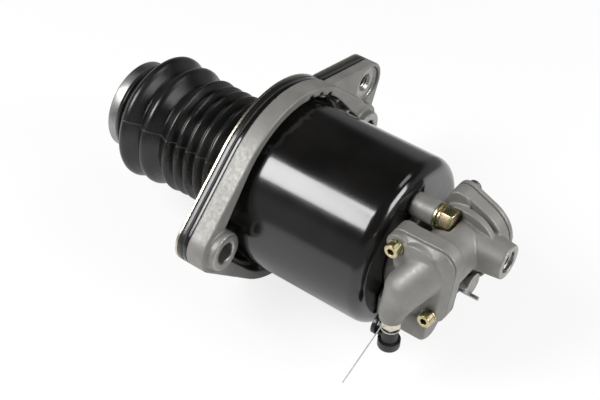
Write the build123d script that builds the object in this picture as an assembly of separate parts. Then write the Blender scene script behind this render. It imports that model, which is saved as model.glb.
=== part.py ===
from build123d import *
import os
from math import cos, pi, radians, sin

# Clutch servo of a truck. The X axis is the axis of the push rod, from the boot (-X) to the
# valve body (+X). Y runs through the two flange bosses and Z is up. The origin is the centre
# of the mounting face, which is the outer face of the boot plate. Millimetres.

# Fits and clearances
RUN_FIT = 0.05
SEAT_GAP = 0.05
BOLT_PLAY = 0.3
CUT_REACH = 60.0

# Air cylinder
CAN_R = 55.0
CAN_LENGTH = 108.0
CAN_T = 2.6
CAN_SHOULDER_R = 9.0
CAN_FLARE_R = 3.0
SPIGOT_R = 20.0

# Flange outline
FLANGE_R = 66.5
BOSS_PITCH = 74.0
CORNER_R = 16.0
BOSS_R = 12.3
BOSS_HEIGHT = 17.5
MOUNT_HOLE_R = 6.6
EAR_REACH = 11.5
EAR_Z = 26.0
EAR_R = 15.0
EAR_T = 7.5
EAR_ROOT_R = 16.0
EAR_ROOT_ANGLE = 37.7
EAR_HOLE_R = 5.1
SPOT_FACE_R = 12.2
SPOT_FACE_DEPTH = 2.4

# Flange stack, along X
BOOT_PLATE_T = 1.5
FRONT_PLATE_T = 3.4
GASKET_T = 1.0
CASTING_WEB_T = 4.0
RIM_HEIGHT = 12.2
RIM_WALL = 6.0
POCKET_END_R = 9.0
RIB_T = 3.0
RIB_ANGLES = (20, 40, 320, 340)
NOTCH_ANGLES = (56, 66, 76)
NOTCH_R = 2.2

# Body bolts
BODY_BOLT_PITCH = 37.0
BODY_BOLT_ANGLES = (94, 250, 332)
BODY_BOLT_R = 4.0
BODY_BOLT_LENGTH = 27.0
BODY_BOSS_R = 7.6
BODY_BOSS_HEIGHT = 15.7
WASHER_R = 8.2
WASHER_T = 1.6
SPRING_WASHER_R = 7.0
SPRING_WASHER_T = 1.9
HEX_WIDTH = 13.0
HEX_HEIGHT = 7.6
HEX_PLAY = 0.3

# Plate screws
PLATE_SCREW_PITCH = 61.4
PLATE_SCREW_ANGLES = (60, 120, 240, 300)
PLATE_SCREW_R = 2.5
PLATE_SCREW_HEAD_R = 4.9
PLATE_SCREW_LENGTH = 18.0
PLATE_SOCKET_R = 1.7
SCREW_PAD_R = 4.6

# Push rod, plunger and cup
ROD_R = 9.45
ROD_SHOULDER_R = 12.0
ROD_FRONT_X = -103.0
PLUNGER_OVERLAP = 19.0
ROD_HEAD_R = 13.0
ROD_HEAD_T = 8.0
ROD_NECK_R = 15.5
ROD_SOCKET_R = 9.0
ROD_SOCKET_OUT = 3.0
CUP_R = 30.4
CUP_T = 1.4
CUP_DEPTH = 7.0

# Boot
BOOT_T = 1.9
BOOT_LIP_R = 28.9
BOOT_NECK_R = 32.6
BOOT_NECK_LENGTH = 3.0
BOOT_BEAD_R = 36.0
BOOT_BEAD_T = 2.0
BIG_FOLDS = ((-87.0, 44.8, 35.5), (-71.0, 42.9, 33.8))
BIG_FOLD_STEP = 8.4
BIG_CREST_ROUND = 5.0
SMALL_FOLDS = 7
SMALL_FOLD_PITCH = 8.0
SMALL_FOLD_R = 39.9
SMALL_VALLEY_R = 33.4
SMALL_CREST_ROUND = 2.0
VALLEY_ROUND = 0.7

# Air piston
PISTON_X = 14.0
PISTON_WEB_T = 5.0
PISTON_LENGTH = 19.0
PISTON_WALL = 6.6
PISTON_GAP = 0.35
HUB_R = 16.0
HUB_LENGTH = 6.4
SEAL_OFFSET = 2.0
SEAL_WIDTH = 4.4
SEAL_DEPTH = 3.9
GUIDE_OFFSET = 10.0
GUIDE_WIDTH = 5.4
GUIDE_DEPTH = 1.6
CIRCLIP_T = 1.4
CIRCLIP_DEPTH = 1.2
PLUNGER_SEAL_OFFSET = 8.0
PLUNGER_SEAL_WIDTH = 4.0
PLUNGER_SEAL_DEPTH = 2.5

# Return spring, a cone that closes flat
SPRING_WIRE_R = 1.6
SPRING_SMALL_R = 22.0
SPRING_MARGIN = 10.4
SPRING_TURNS = 5.5

# Hydraulic sleeve
SLEEVE_LENGTH = 59.5
SLEEVE_REACH = 13.7
SLEEVE_WALL = 4.5
SLEEVE_COLLAR_MARGIN = 3.6
SLEEVE_COLLAR_T = 2.0
BACKING_T = 4.0
BACKING_MARGIN = 6.4

# Valve body
BODY_SEAL_T = 0.8
BASE_R = 30.0
BASE_T = 7.0
BARREL_MARGIN = 1.0
BARREL_LENGTH = 34.2
CROSS_REACH = 29.8
CROSS_Z = 20.6
CROSS_R = 16.0
DRUM_R = 22.0
DRUM_T = 6.8
GROOVE_WIDTH = 2.0
GROOVE_DEPTH = 3.0
COVER_SEAT_Y = -34.6
COVER_FLANGE_T = 9.0
COVER_WALL = 4.0
COVER_CORNER = (5.9, 13.4)
COVER_CORNER_R = 12.0
REAR_SEAT_Y = 18.4
REAR_FLANGE_T = 8.6
REAR_R = 23.2
TUBE_Y = 4.5
TUBE_LENGTH = 30.9
TUBE_R = 10.9
TUBE_ROOT_R = 12.2
TUBE_SHOULDER_R = 15.5
TUBE_SHOULDER_LENGTH = 19.0
PORT_R = 6.8
PORT_DEPTH = 15.0
PORT_PASSAGE_R = 4.0
HYDRAULIC_PORT_REACH = 9.7
HYDRAULIC_PORT_Y = 5.0
HYDRAULIC_PORT_R = 5.6
HYDRAULIC_PORT_DEPTH = 11.0
HYDRAULIC_BOSS_R = 9.5
HYDRAULIC_BOSS_Z = -31.0
PLUG_Z = -5.0
PLUG_R = 5.5
PLUG_DEPTH = 7.0
PLUG_STAND = 6.5
PLUG_HEAD_R = 7.4
PLUG_HEAD_T = 2.6
PIN_Y = 2.0
PIN_Z = -16.4
PIN_R = 1.3
PIN_DEPTH = 6.0
PIN_STAND = 13.0
LUG_Y = -27.0
LUG_Z = -23.0
LUG_R = 11.5
LUG_LENGTH = 34.0
LUG_ROUND = 4.0

# Valve bore
RELAY_R = 13.0
RELAY_DEPTH = 13.6
STEM_R = 6.5
STEM_DEPTH = 17.0
CHAMBER_R = 7.6
RELAY_HEAD_T = 6.0
RELAY_STROKE = 3.0
POPPET_LIFT = 2.0
SEAT_T = 2.5
SEAT_HOLE_R = 4.2
POPPET_R = 6.2
POPPET_T = 3.4

# Cover, rear cap and their screws
GASKET_SHEET_T = 0.6
GASKET_INSET = 0.7
COVER_T = 5.0
COVER_RIM_T = 1.2
COVER_SLOPE = 48.0
SCREW_R = 2.5
SCREW_HEAD_R = 4.25
SCREW_HEAD_T = 5.2
SCREW_WASHER_R = 4.7
SCREW_WASHER_T = 1.2
WASHER_SLOT = 0.9
SCREW_GRIP = 7.5
SCREW_LUG_R = 7.4
SCREW_LUG_T = 10.0
SOCKET_WIDTH = 4.0
SOCKET_DEPTH = 2.8
COVER_SCREW_OFFSETS = ((-18.0, 17.6), (8.0, -21.5))
REAR_SCREW_PITCH = 22.5
REAR_SCREW_ANGLES = (111, 291)
REAR_CAP_T = 3.2
VENT_R = 1.5
VENT_RING_R = 5.4
FLAP_R = 8.6

# Domed bulge of the cover, with its raised ring
BULB_OFFSET = (-6.1, -10.9, -4.1)
BULB_R = 12.3
RAMP_OFFSET = (2.4, 1.1, 8.4)
RAMP_R = 12.5
DOME_RING_OFFSET = (-4.6, 9.4)
DOME_RING_R = 15.0
DOME_RING_T = 1.4

# Bleed screw and its dust cap
BLEED_OFFSET_X = -10.4
BLEED_OFFSET_Y = -15.4
BLEED_SEAT_Z = -6.5
BLEED_BORE_R = 4.1
BLEED_NECK_R = 8.0
BLEED_NECK_T = 6.0
BLEED_HEX = 11.0
BLEED_HEX_T = 5.7
NIPPLE_R = 3.2
NIPPLE_LENGTH = 9.0
CAP_R = 5.0
CAP_LENGTH = 17.4
CAP_RIM = 1.8
STRAP_R = 6.4
STRAP_HOLE_R = 4.0
STRAP_T = 2.6
TIE_R = 0.4
TIE_ANGLE = 214.0
TIE_RUN = (0.0, -37.0, -15.0)

# Derived places and radii
FRONT_PLATE_X = BOOT_PLATE_T
GASKET_X = FRONT_PLATE_X + FRONT_PLATE_T
CAN_FLANGE_X = GASKET_X + GASKET_T
CASTING_X = CAN_FLANGE_X + CAN_T
RIM_TOP_X = CASTING_X + RIM_HEIGHT
EAR_TOP_X = CASTING_X + EAR_T
BOSS_TOP_X = CASTING_X + BOSS_HEIGHT
EAR_Y = BOSS_PITCH + EAR_REACH
CAN_BORE_R = CAN_R - CAN_T
CAN_FLOOR_X = CAN_LENGTH - CAN_T
BACKING_R = CAN_BORE_R - BACKING_MARGIN
SPRING_BIG_R = CAN_BORE_R - SPRING_MARGIN
PISTON_R = CAN_BORE_R - PISTON_GAP
BODY_X = CAN_LENGTH + BODY_SEAL_T
BODY_BOSS_TOP_X = BODY_X + BODY_BOSS_HEIGHT
BARREL_R = SPIGOT_R - BARREL_MARGIN
BARREL_END_X = BODY_X + BARREL_LENGTH
SLEEVE_X1 = BODY_X + SLEEVE_REACH
SLEEVE_X0 = SLEEVE_X1 - SLEEVE_LENGTH
SLEEVE_BORE_R = ROD_R + RUN_FIT
SLEEVE_R = SLEEVE_BORE_R + SLEEVE_WALL
PLUNGER_END_X = SLEEVE_X0 + PLUNGER_OVERLAP
SPIGOT_END_X = CAN_FLOOR_X - BACKING_T
CUP_FLOOR_X = ROD_FRONT_X - 2.9
CROSS_X = BODY_X + CROSS_REACH
TUBE_END_X = CROSS_X + TUBE_LENGTH
HYDRAULIC_PORT_X = BODY_X + HYDRAULIC_PORT_REACH
RELAY_FLOOR_Y = COVER_SEAT_Y + RELAY_DEPTH
STEM_FLOOR_Y = RELAY_FLOOR_Y + STEM_DEPTH
COVER_Y = COVER_SEAT_Y - GASKET_SHEET_T
REAR_CAP_Y = REAR_SEAT_Y + GASKET_SHEET_T
COVER_SCREWS = [(CROSS_X + dx, CROSS_Z + dz) for dx, dz in COVER_SCREW_OFFSETS]
BLEED_X = CROSS_X + BLEED_OFFSET_X
BLEED_Y = COVER_SEAT_Y + BLEED_OFFSET_Y
CAP_TOP_Z = BLEED_SEAT_Z - BLEED_NECK_T - 0.5


def disc(x0, x1, r, y=0.0, z=0.0):
    """Cylinder along X from x0 to x1."""
    return extrude(Plane.YZ.offset(x0) * Pos(y, z) * Circle(r), x1 - x0)


def ring(x0, x1, r_out, r_in):
    """Tube along X from x0 to x1."""
    return disc(x0, x1, r_out) - disc(x0, x1, r_in)


def across(y0, y1, r, x, z):
    """Cylinder along Y from y0 to y1, centred on (x, z)."""
    return extrude(Plane.XZ.offset(-y1) * Pos(x, z) * Circle(r), y1 - y0)


def upright(z0, z1, r, x, y):
    """Cylinder along Z from z0 to z1, centred on (x, y)."""
    return extrude(Plane.XY.offset(z0) * Pos(x, y) * Circle(r), z1 - z0)


def turned(points):
    """Solid of revolution about X from (x, radius) points."""
    return revolve(Plane.XZ * make_face(Polyline(*points, close=True)), Axis.X)


def polar(radius, degrees):
    """Point at a radius and an angle."""
    return radius * cos(radians(degrees)), radius * sin(radians(degrees))


def hull(*circles):
    """Face around circles given as (y, z, radius)."""
    sketch = Sketch() + [Pos(y, z) * Circle(r) for y, z, r in circles]
    return make_hull(sketch.edges())


def save(name, shape):
    """Write one piece, or a group of like pieces, to its own file."""
    export_step(shape, f"parts/{name}.step")


def plate_screw_places():
    return [polar(PLATE_SCREW_PITCH, angle) for angle in PLATE_SCREW_ANGLES]


def body_bolt_places():
    return [polar(BODY_BOLT_PITCH, angle) for angle in BODY_BOLT_ANGLES]


def oval_outline():
    """Oval around the cylinder and the two bosses."""
    ends = [(side * BOSS_PITCH, 0, CORNER_R) for side in (-1, 1)]
    return Sketch() + hull((0, 0, FLANGE_R), *ends)


def ear_outline():
    """Ear for the threaded hole, from the oval's upper right."""
    y, z = polar(FLANGE_R - EAR_ROOT_R * 0.7, EAR_ROOT_ANGLE)
    return Sketch() + hull((EAR_Y, EAR_Z, EAR_R), (BOSS_PITCH, 0, CORNER_R), (y, z, EAR_ROOT_R))


def flange_outline():
    """Oval flange around the two bosses, with the threaded ear on its upper right."""
    return oval_outline() + ear_outline()


def flange_layer(x0, x1, hole_r):
    """One flat layer of the flange stack, with its mounting and screw holes."""
    layer = extrude(Plane.YZ.offset(x0) * flange_outline(), x1 - x0)
    layer -= disc(x0, x1, hole_r)
    for y in (-BOSS_PITCH, BOSS_PITCH):
        layer -= disc(x0, x1, MOUNT_HOLE_R, y)
    layer -= disc(x0, x1, EAR_HOLE_R + BOLT_PLAY, EAR_Y, EAR_Z)
    for y, z in plate_screw_places():
        layer -= disc(x0, x1, PLATE_SCREW_R + BOLT_PLAY, y, z)
    return layer


def screw_cone(y, z, grow):
    """Countersunk head of a plate screw, larger by grow for the recess."""
    head_t = PLATE_SCREW_HEAD_R - PLATE_SCREW_R
    big = Plane.YZ * Pos(y, z) * Circle(PLATE_SCREW_HEAD_R + grow)
    small = Plane.YZ.offset(head_t) * Pos(y, z) * Circle(PLATE_SCREW_R + grow)
    return loft([big.face(), small.face()])


def make_boot_plate():
    plate = flange_layer(0, BOOT_PLATE_T, BOOT_NECK_R + BOLT_PLAY)
    for y, z in plate_screw_places():
        plate -= screw_cone(y, z, BOLT_PLAY)
    return plate


def make_front_plate():
    plate = flange_layer(FRONT_PLATE_X, GASKET_X, SPIGOT_R)
    plate -= disc(FRONT_PLATE_X, FRONT_PLATE_X + BOOT_BEAD_T + SEAT_GAP, BOOT_BEAD_R + SEAT_GAP)
    for y, z in plate_screw_places():
        plate -= screw_cone(y, z, BOLT_PLAY)
    return plate


def make_gasket():
    return flange_layer(GASKET_X, CAN_FLANGE_X, CAN_BORE_R)


def make_air_cylinder():
    """Deep-drawn can: flange, flare, wall, rounded shoulder and pierced floor."""
    flange = flange_layer(CAN_FLANGE_X, CASTING_X, CAN_BORE_R)
    inner_shoulder = CAN_SHOULDER_R - CAN_T
    outer = disc(CAN_FLANGE_X, CAN_LENGTH, CAN_R)
    outer = fillet(outer.edges().group_by(Axis.X)[-1], CAN_SHOULDER_R)
    inner = disc(CAN_FLANGE_X, CAN_FLOOR_X, CAN_BORE_R)
    inner = fillet(inner.edges().group_by(Axis.X)[-1], inner_shoulder)
    flare = disc(CASTING_X, CASTING_X + CAN_FLARE_R, CAN_R + CAN_FLARE_R)
    groove = revolve(
        Plane.XZ * Pos(CASTING_X + CAN_FLARE_R, CAN_R + CAN_FLARE_R) * Circle(CAN_FLARE_R), Axis.X
    )
    can = flange + outer + (flare - groove)
    can -= inner
    can -= disc(CAN_FLOOR_X, CAN_LENGTH, SPIGOT_R + SEAT_GAP)
    for y, z in body_bolt_places():
        can -= disc(CAN_FLOOR_X, CAN_LENGTH, BODY_BOLT_R + BOLT_PLAY, y, z)
    return can


def make_flange_casting():
    """Open casting: web, rim wall around the pocket, bosses, ear and inner ribs."""
    pocket_r = FLANGE_R - RIM_WALL
    end_y = BOSS_PITCH - POCKET_END_R + 1.0
    pocket = Sketch() + hull((0, 0, pocket_r), (-end_y, 0, POCKET_END_R), (end_y, 0, POCKET_END_R))
    block = extrude(Plane.YZ.offset(CASTING_X) * flange_outline(), EAR_T)
    block += extrude(Plane.YZ.offset(EAR_TOP_X) * oval_outline(), RIM_HEIGHT - EAR_T)
    block -= extrude(Plane.YZ.offset(CASTING_X + CASTING_WEB_T) * pocket, RIM_HEIGHT)
    for side in (-1, 1):
        boss = disc(CASTING_X, BOSS_TOP_X, BOSS_R, side * BOSS_PITCH)
        boss = fillet(boss.edges().group_by(Axis.X)[-1], 0.8)
        block += boss
        block += gusset(side)
    for y, z in plate_screw_places():
        block += disc(CASTING_X, RIM_TOP_X - 1.5, SCREW_PAD_R, y, z)
    for angle in RIB_ANGLES:
        block += rib(angle)
    block -= disc(CASTING_X, BOSS_TOP_X, CAN_R + CAN_FLARE_R + SEAT_GAP)
    for angle in NOTCH_ANGLES:
        y, z = polar(pocket_r, angle)
        block -= disc(CASTING_X + CASTING_WEB_T, RIM_TOP_X, NOTCH_R, y, z)
    for side in (-1, 1):
        block -= disc(CASTING_X, BOSS_TOP_X, MOUNT_HOLE_R, side * BOSS_PITCH)
    spot_x = EAR_TOP_X - SPOT_FACE_DEPTH
    block -= disc(spot_x, BOSS_TOP_X, SPOT_FACE_R, EAR_Y, EAR_Z)
    block -= disc(CASTING_X, BOSS_TOP_X, EAR_HOLE_R, EAR_Y, EAR_Z)
    block -= Pos(0, EAR_Y, EAR_Z) * ear_countersink(spot_x)
    for y, z in plate_screw_places():
        block -= disc(CASTING_X, PLATE_SCREW_LENGTH + 1, PLATE_SCREW_R, y, z)
    return block


def ear_countersink(x):
    """Lead-in cone of the ear's threaded hole."""
    return turned(((x - 1.2, 0), (x - 1.2, EAR_HOLE_R), (x, EAR_HOLE_R + 1.2), (x, 0)))


def gusset(side):
    """Sloping rib from the top of a boss down to the rim."""
    start = side * (BOSS_PITCH - BOSS_R + 1.5)
    end = side * (BOSS_PITCH - BOSS_R - 3.0)
    face = Plane.XY * make_face(
        Polyline(
            (CASTING_X, start),
            (BOSS_TOP_X - 1, start),
            (RIM_TOP_X, end),
            (CASTING_X, end),
            close=True,
        )
    )
    return extrude(face, 2.0, both=True)


def rib(angle):
    """Short radial rib inside the rim."""
    inner = CAN_R + CAN_FLARE_R + SEAT_GAP
    outer = FLANGE_R - RIM_WALL / 2
    box = Box(RIM_HEIGHT - 1.2, outer - inner, RIB_T)
    box = Pos(CASTING_X + (RIM_HEIGHT - 1.2) / 2, (outer + inner) / 2, 0) * box
    return Rot(angle, 0, 0) * box


def make_plate_screws():
    """Countersunk screws that hold the flange stack to the casting."""
    screws = []
    for y, z in plate_screw_places():
        screw = screw_cone(y, z, 0)
        screw += disc(PLATE_SCREW_HEAD_R - PLATE_SCREW_R, PLATE_SCREW_LENGTH, PLATE_SCREW_R, y, z)
        socket = Plane.YZ * Pos(y, z) * RegularPolygon(PLATE_SOCKET_R, 6)
        screws.append(screw - extrude(socket, 1.6))
    return Compound(children=screws)


def boot_folds():
    """Crests as (x, radius, rounding) and valleys as (x, radius), from the lip to the neck."""
    crests = [(x, peak, BIG_CREST_ROUND) for x, peak, _ in BIG_FOLDS]
    valleys = [(x + BIG_FOLD_STEP, low) for x, _, low in BIG_FOLDS]
    first = -SMALL_FOLD_PITCH * SMALL_FOLDS
    for fold in range(SMALL_FOLDS):
        x = first + SMALL_FOLD_PITCH * (fold + 0.25)
        crests.append((x, SMALL_FOLD_R, SMALL_CREST_ROUND))
        valleys.append((x + SMALL_FOLD_PITCH / 2, SMALL_VALLEY_R))
    valleys[-1] = (-BOOT_NECK_LENGTH, BOOT_NECK_R)
    return crests, valleys


def boot_wall(offset):
    """Wall line of the boot as (x, radius) points, moved inward by offset."""
    points = [(ROD_FRONT_X - 1.0, BOOT_LIP_R - offset), (ROD_FRONT_X + 3.5, BOOT_LIP_R - offset)]
    for (x, peak, _), (low_x, low) in zip(*boot_folds()):
        points.append((x, peak - offset))
        points.append((low_x, low - offset))
    points.append((0.0, BOOT_NECK_R - offset))
    return points


def make_boot():
    """Rubber bellows with a lip in the cup and a bead under the boot plate."""
    outer = boot_wall(0)
    inner = boot_wall(BOOT_T)
    bead_x1 = FRONT_PLATE_X + BOOT_BEAD_T
    inner_r = BOOT_NECK_R - BOOT_T
    face = make_face(
        Polyline(
            *outer,
            (FRONT_PLATE_X + SEAT_GAP, BOOT_NECK_R),
            (FRONT_PLATE_X + SEAT_GAP, BOOT_BEAD_R),
            (bead_x1, BOOT_BEAD_R),
            (bead_x1, inner_r),
            *reversed(inner),
            close=True,
        )
    )
    crests, valleys = boot_folds()
    for x, _, rounding in crests:
        face = fillet(corners_at(face, x), rounding)
    for x, _ in valleys:
        face = fillet(corners_at(face, x), VALLEY_ROUND)
    return revolve(Plane.XZ * face, Axis.X)


def corners_at(face, x):
    """Corners of a profile at a place along X."""
    return [v for v in face.vertices() if abs(v.X - x) < 0.01]


def make_push_rod():
    """Rod with its ball socket, head, shoulders, circlip groove and plunger end."""
    head_x0 = ROD_FRONT_X - ROD_HEAD_T
    clip_x = PISTON_X + HUB_LENGTH + SEAT_GAP
    clip_end = clip_x + CIRCLIP_T + SEAT_GAP
    seal_x = PLUNGER_END_X - PLUNGER_SEAL_OFFSET
    seal_end = seal_x + PLUNGER_SEAL_WIDTH
    centre = head_x0 - ROD_SOCKET_OUT
    bottom = (centre + ROD_SOCKET_R, 0)
    mouth = (head_x0, (ROD_SOCKET_R**2 - ROD_SOCKET_OUT**2) ** 0.5)
    along, out = polar(ROD_SOCKET_R, 45)
    outside = Polyline(
        mouth,
        (head_x0, ROD_HEAD_R - 1.0),
        (head_x0 + 1.0, ROD_HEAD_R),
        (CUP_FLOOR_X, ROD_HEAD_R),
        (CUP_FLOOR_X, ROD_NECK_R),
        (ROD_FRONT_X, ROD_NECK_R),
        (ROD_FRONT_X, ROD_R),
        (PISTON_X - 3.0, ROD_R),
        (PISTON_X - 3.0, ROD_SHOULDER_R),
        (PISTON_X, ROD_SHOULDER_R),
        (PISTON_X, ROD_R),
        (clip_x, ROD_R),
        (clip_x, ROD_R - CIRCLIP_DEPTH),
        (clip_end, ROD_R - CIRCLIP_DEPTH),
        (clip_end, ROD_R),
        (seal_x, ROD_R),
        (seal_x, ROD_R - PLUNGER_SEAL_DEPTH),
        (seal_end, ROD_R - PLUNGER_SEAL_DEPTH),
        (seal_end, ROD_R),
        (PLUNGER_END_X - 1.0, ROD_R),
        (PLUNGER_END_X, ROD_R - 1.0),
        (PLUNGER_END_X, 0),
        bottom,
    )
    socket = ThreePointArc(bottom, (centre + along, out), mouth)
    return revolve(Plane.XZ * make_face([outside, socket]), Axis.X)


def make_rod_end_cup():
    """Pressed cup around the boot's lip, on the shoulder of the rod's head."""
    base_x = CUP_FLOOR_X - CUP_T
    cup = ring(base_x, base_x + CUP_DEPTH, CUP_R, CUP_R - CUP_T)
    cup += ring(base_x, CUP_FLOOR_X, CUP_R, ROD_HEAD_R + SEAT_GAP)
    edge = cup.edges().filter_by(GeomType.CIRCLE).group_by(Axis.X)[0].sort_by(SortBy.RADIUS)[-1]
    return fillet(edge, 1.0)


def make_rod_guide():
    """Plastic bush in the front plate that guides the rod."""
    x0 = FRONT_PLATE_X + BOOT_BEAD_T + SEAT_GAP + 0.3
    bush = ring(x0, CASTING_X, SPIGOT_R - SEAT_GAP, ROD_R + RUN_FIT)
    return bush + ring(GASKET_X + SEAT_GAP, GASKET_X + 2.0, SPIGOT_R + 4.0, ROD_R + RUN_FIT)


def make_air_piston():
    """Cupped piston with a seal groove and a guide groove."""
    x0 = PISTON_X
    web_x = x0 + PISTON_WEB_T
    end = x0 + PISTON_LENGTH
    bore = PISTON_R - PISTON_WALL
    seal_x = x0 + SEAL_OFFSET
    guide_x = x0 + GUIDE_OFFSET
    return turned(
        (
            (x0, ROD_R + RUN_FIT),
            (x0, PISTON_R - 1.0),
            (x0 + 1.0, PISTON_R),
            (seal_x, PISTON_R),
            (seal_x, PISTON_R - SEAL_DEPTH),
            (seal_x + SEAL_WIDTH, PISTON_R - SEAL_DEPTH),
            (seal_x + SEAL_WIDTH, PISTON_R),
            (guide_x, PISTON_R),
            (guide_x, PISTON_R - GUIDE_DEPTH),
            (guide_x + GUIDE_WIDTH, PISTON_R - GUIDE_DEPTH),
            (guide_x + GUIDE_WIDTH, PISTON_R),
            (end, PISTON_R),
            (end, bore),
            (web_x + 2.0, bore),
            (web_x, bore - 2.0),
            (web_x, HUB_R + 1.0),
            (x0 + HUB_LENGTH, HUB_R),
            (x0 + HUB_LENGTH, ROD_R + RUN_FIT),
        )
    )


def make_piston_seal():
    """Lip seal in the piston's groove."""
    x0 = PISTON_X + SEAL_OFFSET + SEAT_GAP
    x1 = x0 + SEAL_WIDTH - 2 * SEAT_GAP
    root = PISTON_R - SEAL_DEPTH + SEAT_GAP
    lip = CAN_BORE_R - RUN_FIT
    return turned(
        ((x0, root), (x0, lip - 0.9), (x1 - 0.8, lip), (x1, lip - 0.4), (x1 - 1.6, root + 1.4), (x1, root))
    )


def make_guide_ring():
    x0 = PISTON_X + GUIDE_OFFSET + SEAT_GAP
    x1 = x0 + GUIDE_WIDTH - 2 * SEAT_GAP
    return ring(x0, x1, CAN_BORE_R - RUN_FIT, PISTON_R - GUIDE_DEPTH + SEAT_GAP)


def make_piston_circlip():
    """Open retaining ring behind the piston's hub."""
    x0 = PISTON_X + HUB_LENGTH + SEAT_GAP
    clip = ring(x0, x0 + CIRCLIP_T, ROD_SHOULDER_R, ROD_R - CIRCLIP_DEPTH + SEAT_GAP)
    return clip - Pos(x0 + CIRCLIP_T / 2, 0, -ROD_R) * Box(CIRCLIP_T * 2, 7.0, 8.0)


def make_plunger_seal():
    x0 = PLUNGER_END_X - PLUNGER_SEAL_OFFSET + SEAT_GAP
    x1 = x0 + PLUNGER_SEAL_WIDTH - 2 * SEAT_GAP
    return ring(x0, x1, ROD_R + RUN_FIT / 2, ROD_R - PLUNGER_SEAL_DEPTH + SEAT_GAP)


def coil(x0, x1, r0, r1, turns, wire_r):
    """Helical wire along X from x0 to x1, from radius r0 to r1."""
    length = x1 - x0
    steps = int(turns * 12)
    points = []
    for i in range(steps + 1):
        share = i / steps
        radius = r0 + (r1 - r0) * share
        turn = 2 * pi * turns * share
        points.append((x0 + length * share, radius * cos(turn), radius * sin(turn)))
    path = Spline(*points)
    return sweep(Plane(origin=path @ 0, z_dir=path % 0) * Circle(wire_r), path)


def make_return_spring():
    gap = SPRING_WIRE_R + 0.3
    x0 = PISTON_X + PISTON_WEB_T + gap
    x1 = SPIGOT_END_X - gap
    return coil(x0, x1, SPRING_SMALL_R, SPRING_BIG_R, SPRING_TURNS, SPRING_WIRE_R)


def make_backing_ring():
    """Threaded ring inside the can that the body bolts pull on."""
    plate = ring(SPIGOT_END_X, CAN_FLOOR_X, BACKING_R, SPIGOT_R + SEAT_GAP)
    plate = fillet(plate.edges().group_by(Axis.X)[-1].sort_by(SortBy.RADIUS)[-1], 2.5)
    for y, z in body_bolt_places():
        plate -= disc(SPIGOT_END_X, CAN_FLOOR_X, BODY_BOLT_R, y, z)
    return plate


def make_body_gasket():
    seal = ring(CAN_LENGTH, BODY_X, BASE_R - 1.0, SPIGOT_R + SEAT_GAP)
    for y, z in body_bolt_places():
        seal += disc(CAN_LENGTH, BODY_X, BODY_BOSS_R - 0.6, y, z)
        seal -= disc(CAN_LENGTH, BODY_X, BODY_BOLT_R + BOLT_PLAY, y, z)
    return seal - disc(CAN_LENGTH, BODY_X, SPIGOT_R + SEAT_GAP)


def make_hydraulic_sleeve():
    """Steel sleeve that the plunger runs in, with a collar against the spigot."""
    collar_x = SPIGOT_END_X - SLEEVE_COLLAR_T
    tube = disc(SLEEVE_X0, SLEEVE_X1, SLEEVE_R)
    tube += disc(collar_x, SPIGOT_END_X, SPIGOT_R - SLEEVE_COLLAR_MARGIN)
    tube = chamfer(tube.edges().group_by(Axis.X)[0], 0.6)
    return tube - disc(SLEEVE_X0, SLEEVE_X1, SLEEVE_BORE_R)


def body_casting_outside():
    """Outer form of the valve body: base, barrel, cross cylinder, flanges, tube and bosses."""
    body = disc(BODY_X, BODY_X + BASE_T, BASE_R)
    body += disc(BODY_X, BARREL_END_X, BARREL_R)
    for y, z in body_bolt_places():
        body += disc(BODY_X, BODY_BOSS_TOP_X, BODY_BOSS_R, y, z)
    body += lower_lug()
    body += across(COVER_SEAT_Y, REAR_SEAT_Y, CROSS_R, CROSS_X, CROSS_Z)
    body += cover_block(COVER_SEAT_Y, COVER_SEAT_Y + COVER_FLANGE_T)
    flange_y = REAR_SEAT_Y - REAR_FLANGE_T
    groove_y = flange_y - GROOVE_WIDTH
    body += across(flange_y - DRUM_T, groove_y, DRUM_R, CROSS_X, CROSS_Z)
    body += across(groove_y, flange_y, DRUM_R - GROOVE_DEPTH, CROSS_X, CROSS_Z)
    body += rear_outline_block(flange_y, REAR_SEAT_Y)
    for x, z in COVER_SCREWS:
        body += across(COVER_SEAT_Y, COVER_SEAT_Y + SCREW_LUG_T, SCREW_LUG_R, x, z)
    for x, z in rear_screw_places():
        body += across(REAR_SEAT_Y - SCREW_LUG_T, REAR_SEAT_Y, SCREW_LUG_R, x, z)
    body += tube_outside()
    body += upright(HYDRAULIC_BOSS_Z, 0, HYDRAULIC_BOSS_R, HYDRAULIC_PORT_X, HYDRAULIC_PORT_Y)
    return body


def lower_lug():
    """Rounded chamber below the cover, joined to the barrel by a web."""
    outline = Sketch() + hull((LUG_Y, LUG_Z, LUG_R), (LUG_Y / 4, LUG_Z / 3, LUG_R))
    lug = extrude(Plane.YZ.offset(BODY_X) * outline, LUG_LENGTH)
    return fillet(lug.edges().group_by(Axis.X)[-1], LUG_ROUND)


def tube_outside():
    """Air tube with its broad root, tapered to the port's end."""
    shoulder_x = CROSS_X + TUBE_SHOULDER_LENGTH
    at_root = Plane.YZ.offset(CROSS_X) * Pos(TUBE_Y, CROSS_Z) * Circle(TUBE_SHOULDER_R)
    at_shoulder = Plane.YZ.offset(shoulder_x) * Pos(TUBE_Y, CROSS_Z) * Circle(TUBE_ROOT_R)
    at_end = Plane.YZ.offset(TUBE_END_X) * Pos(TUBE_Y, CROSS_Z) * Circle(TUBE_R)
    tube = loft([at_shoulder.face(), at_end.face()])
    tube = fillet(tube.edges().group_by(Axis.X)[-1], 0.7)
    return tube + loft([at_root.face(), at_shoulder.face()])


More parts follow.
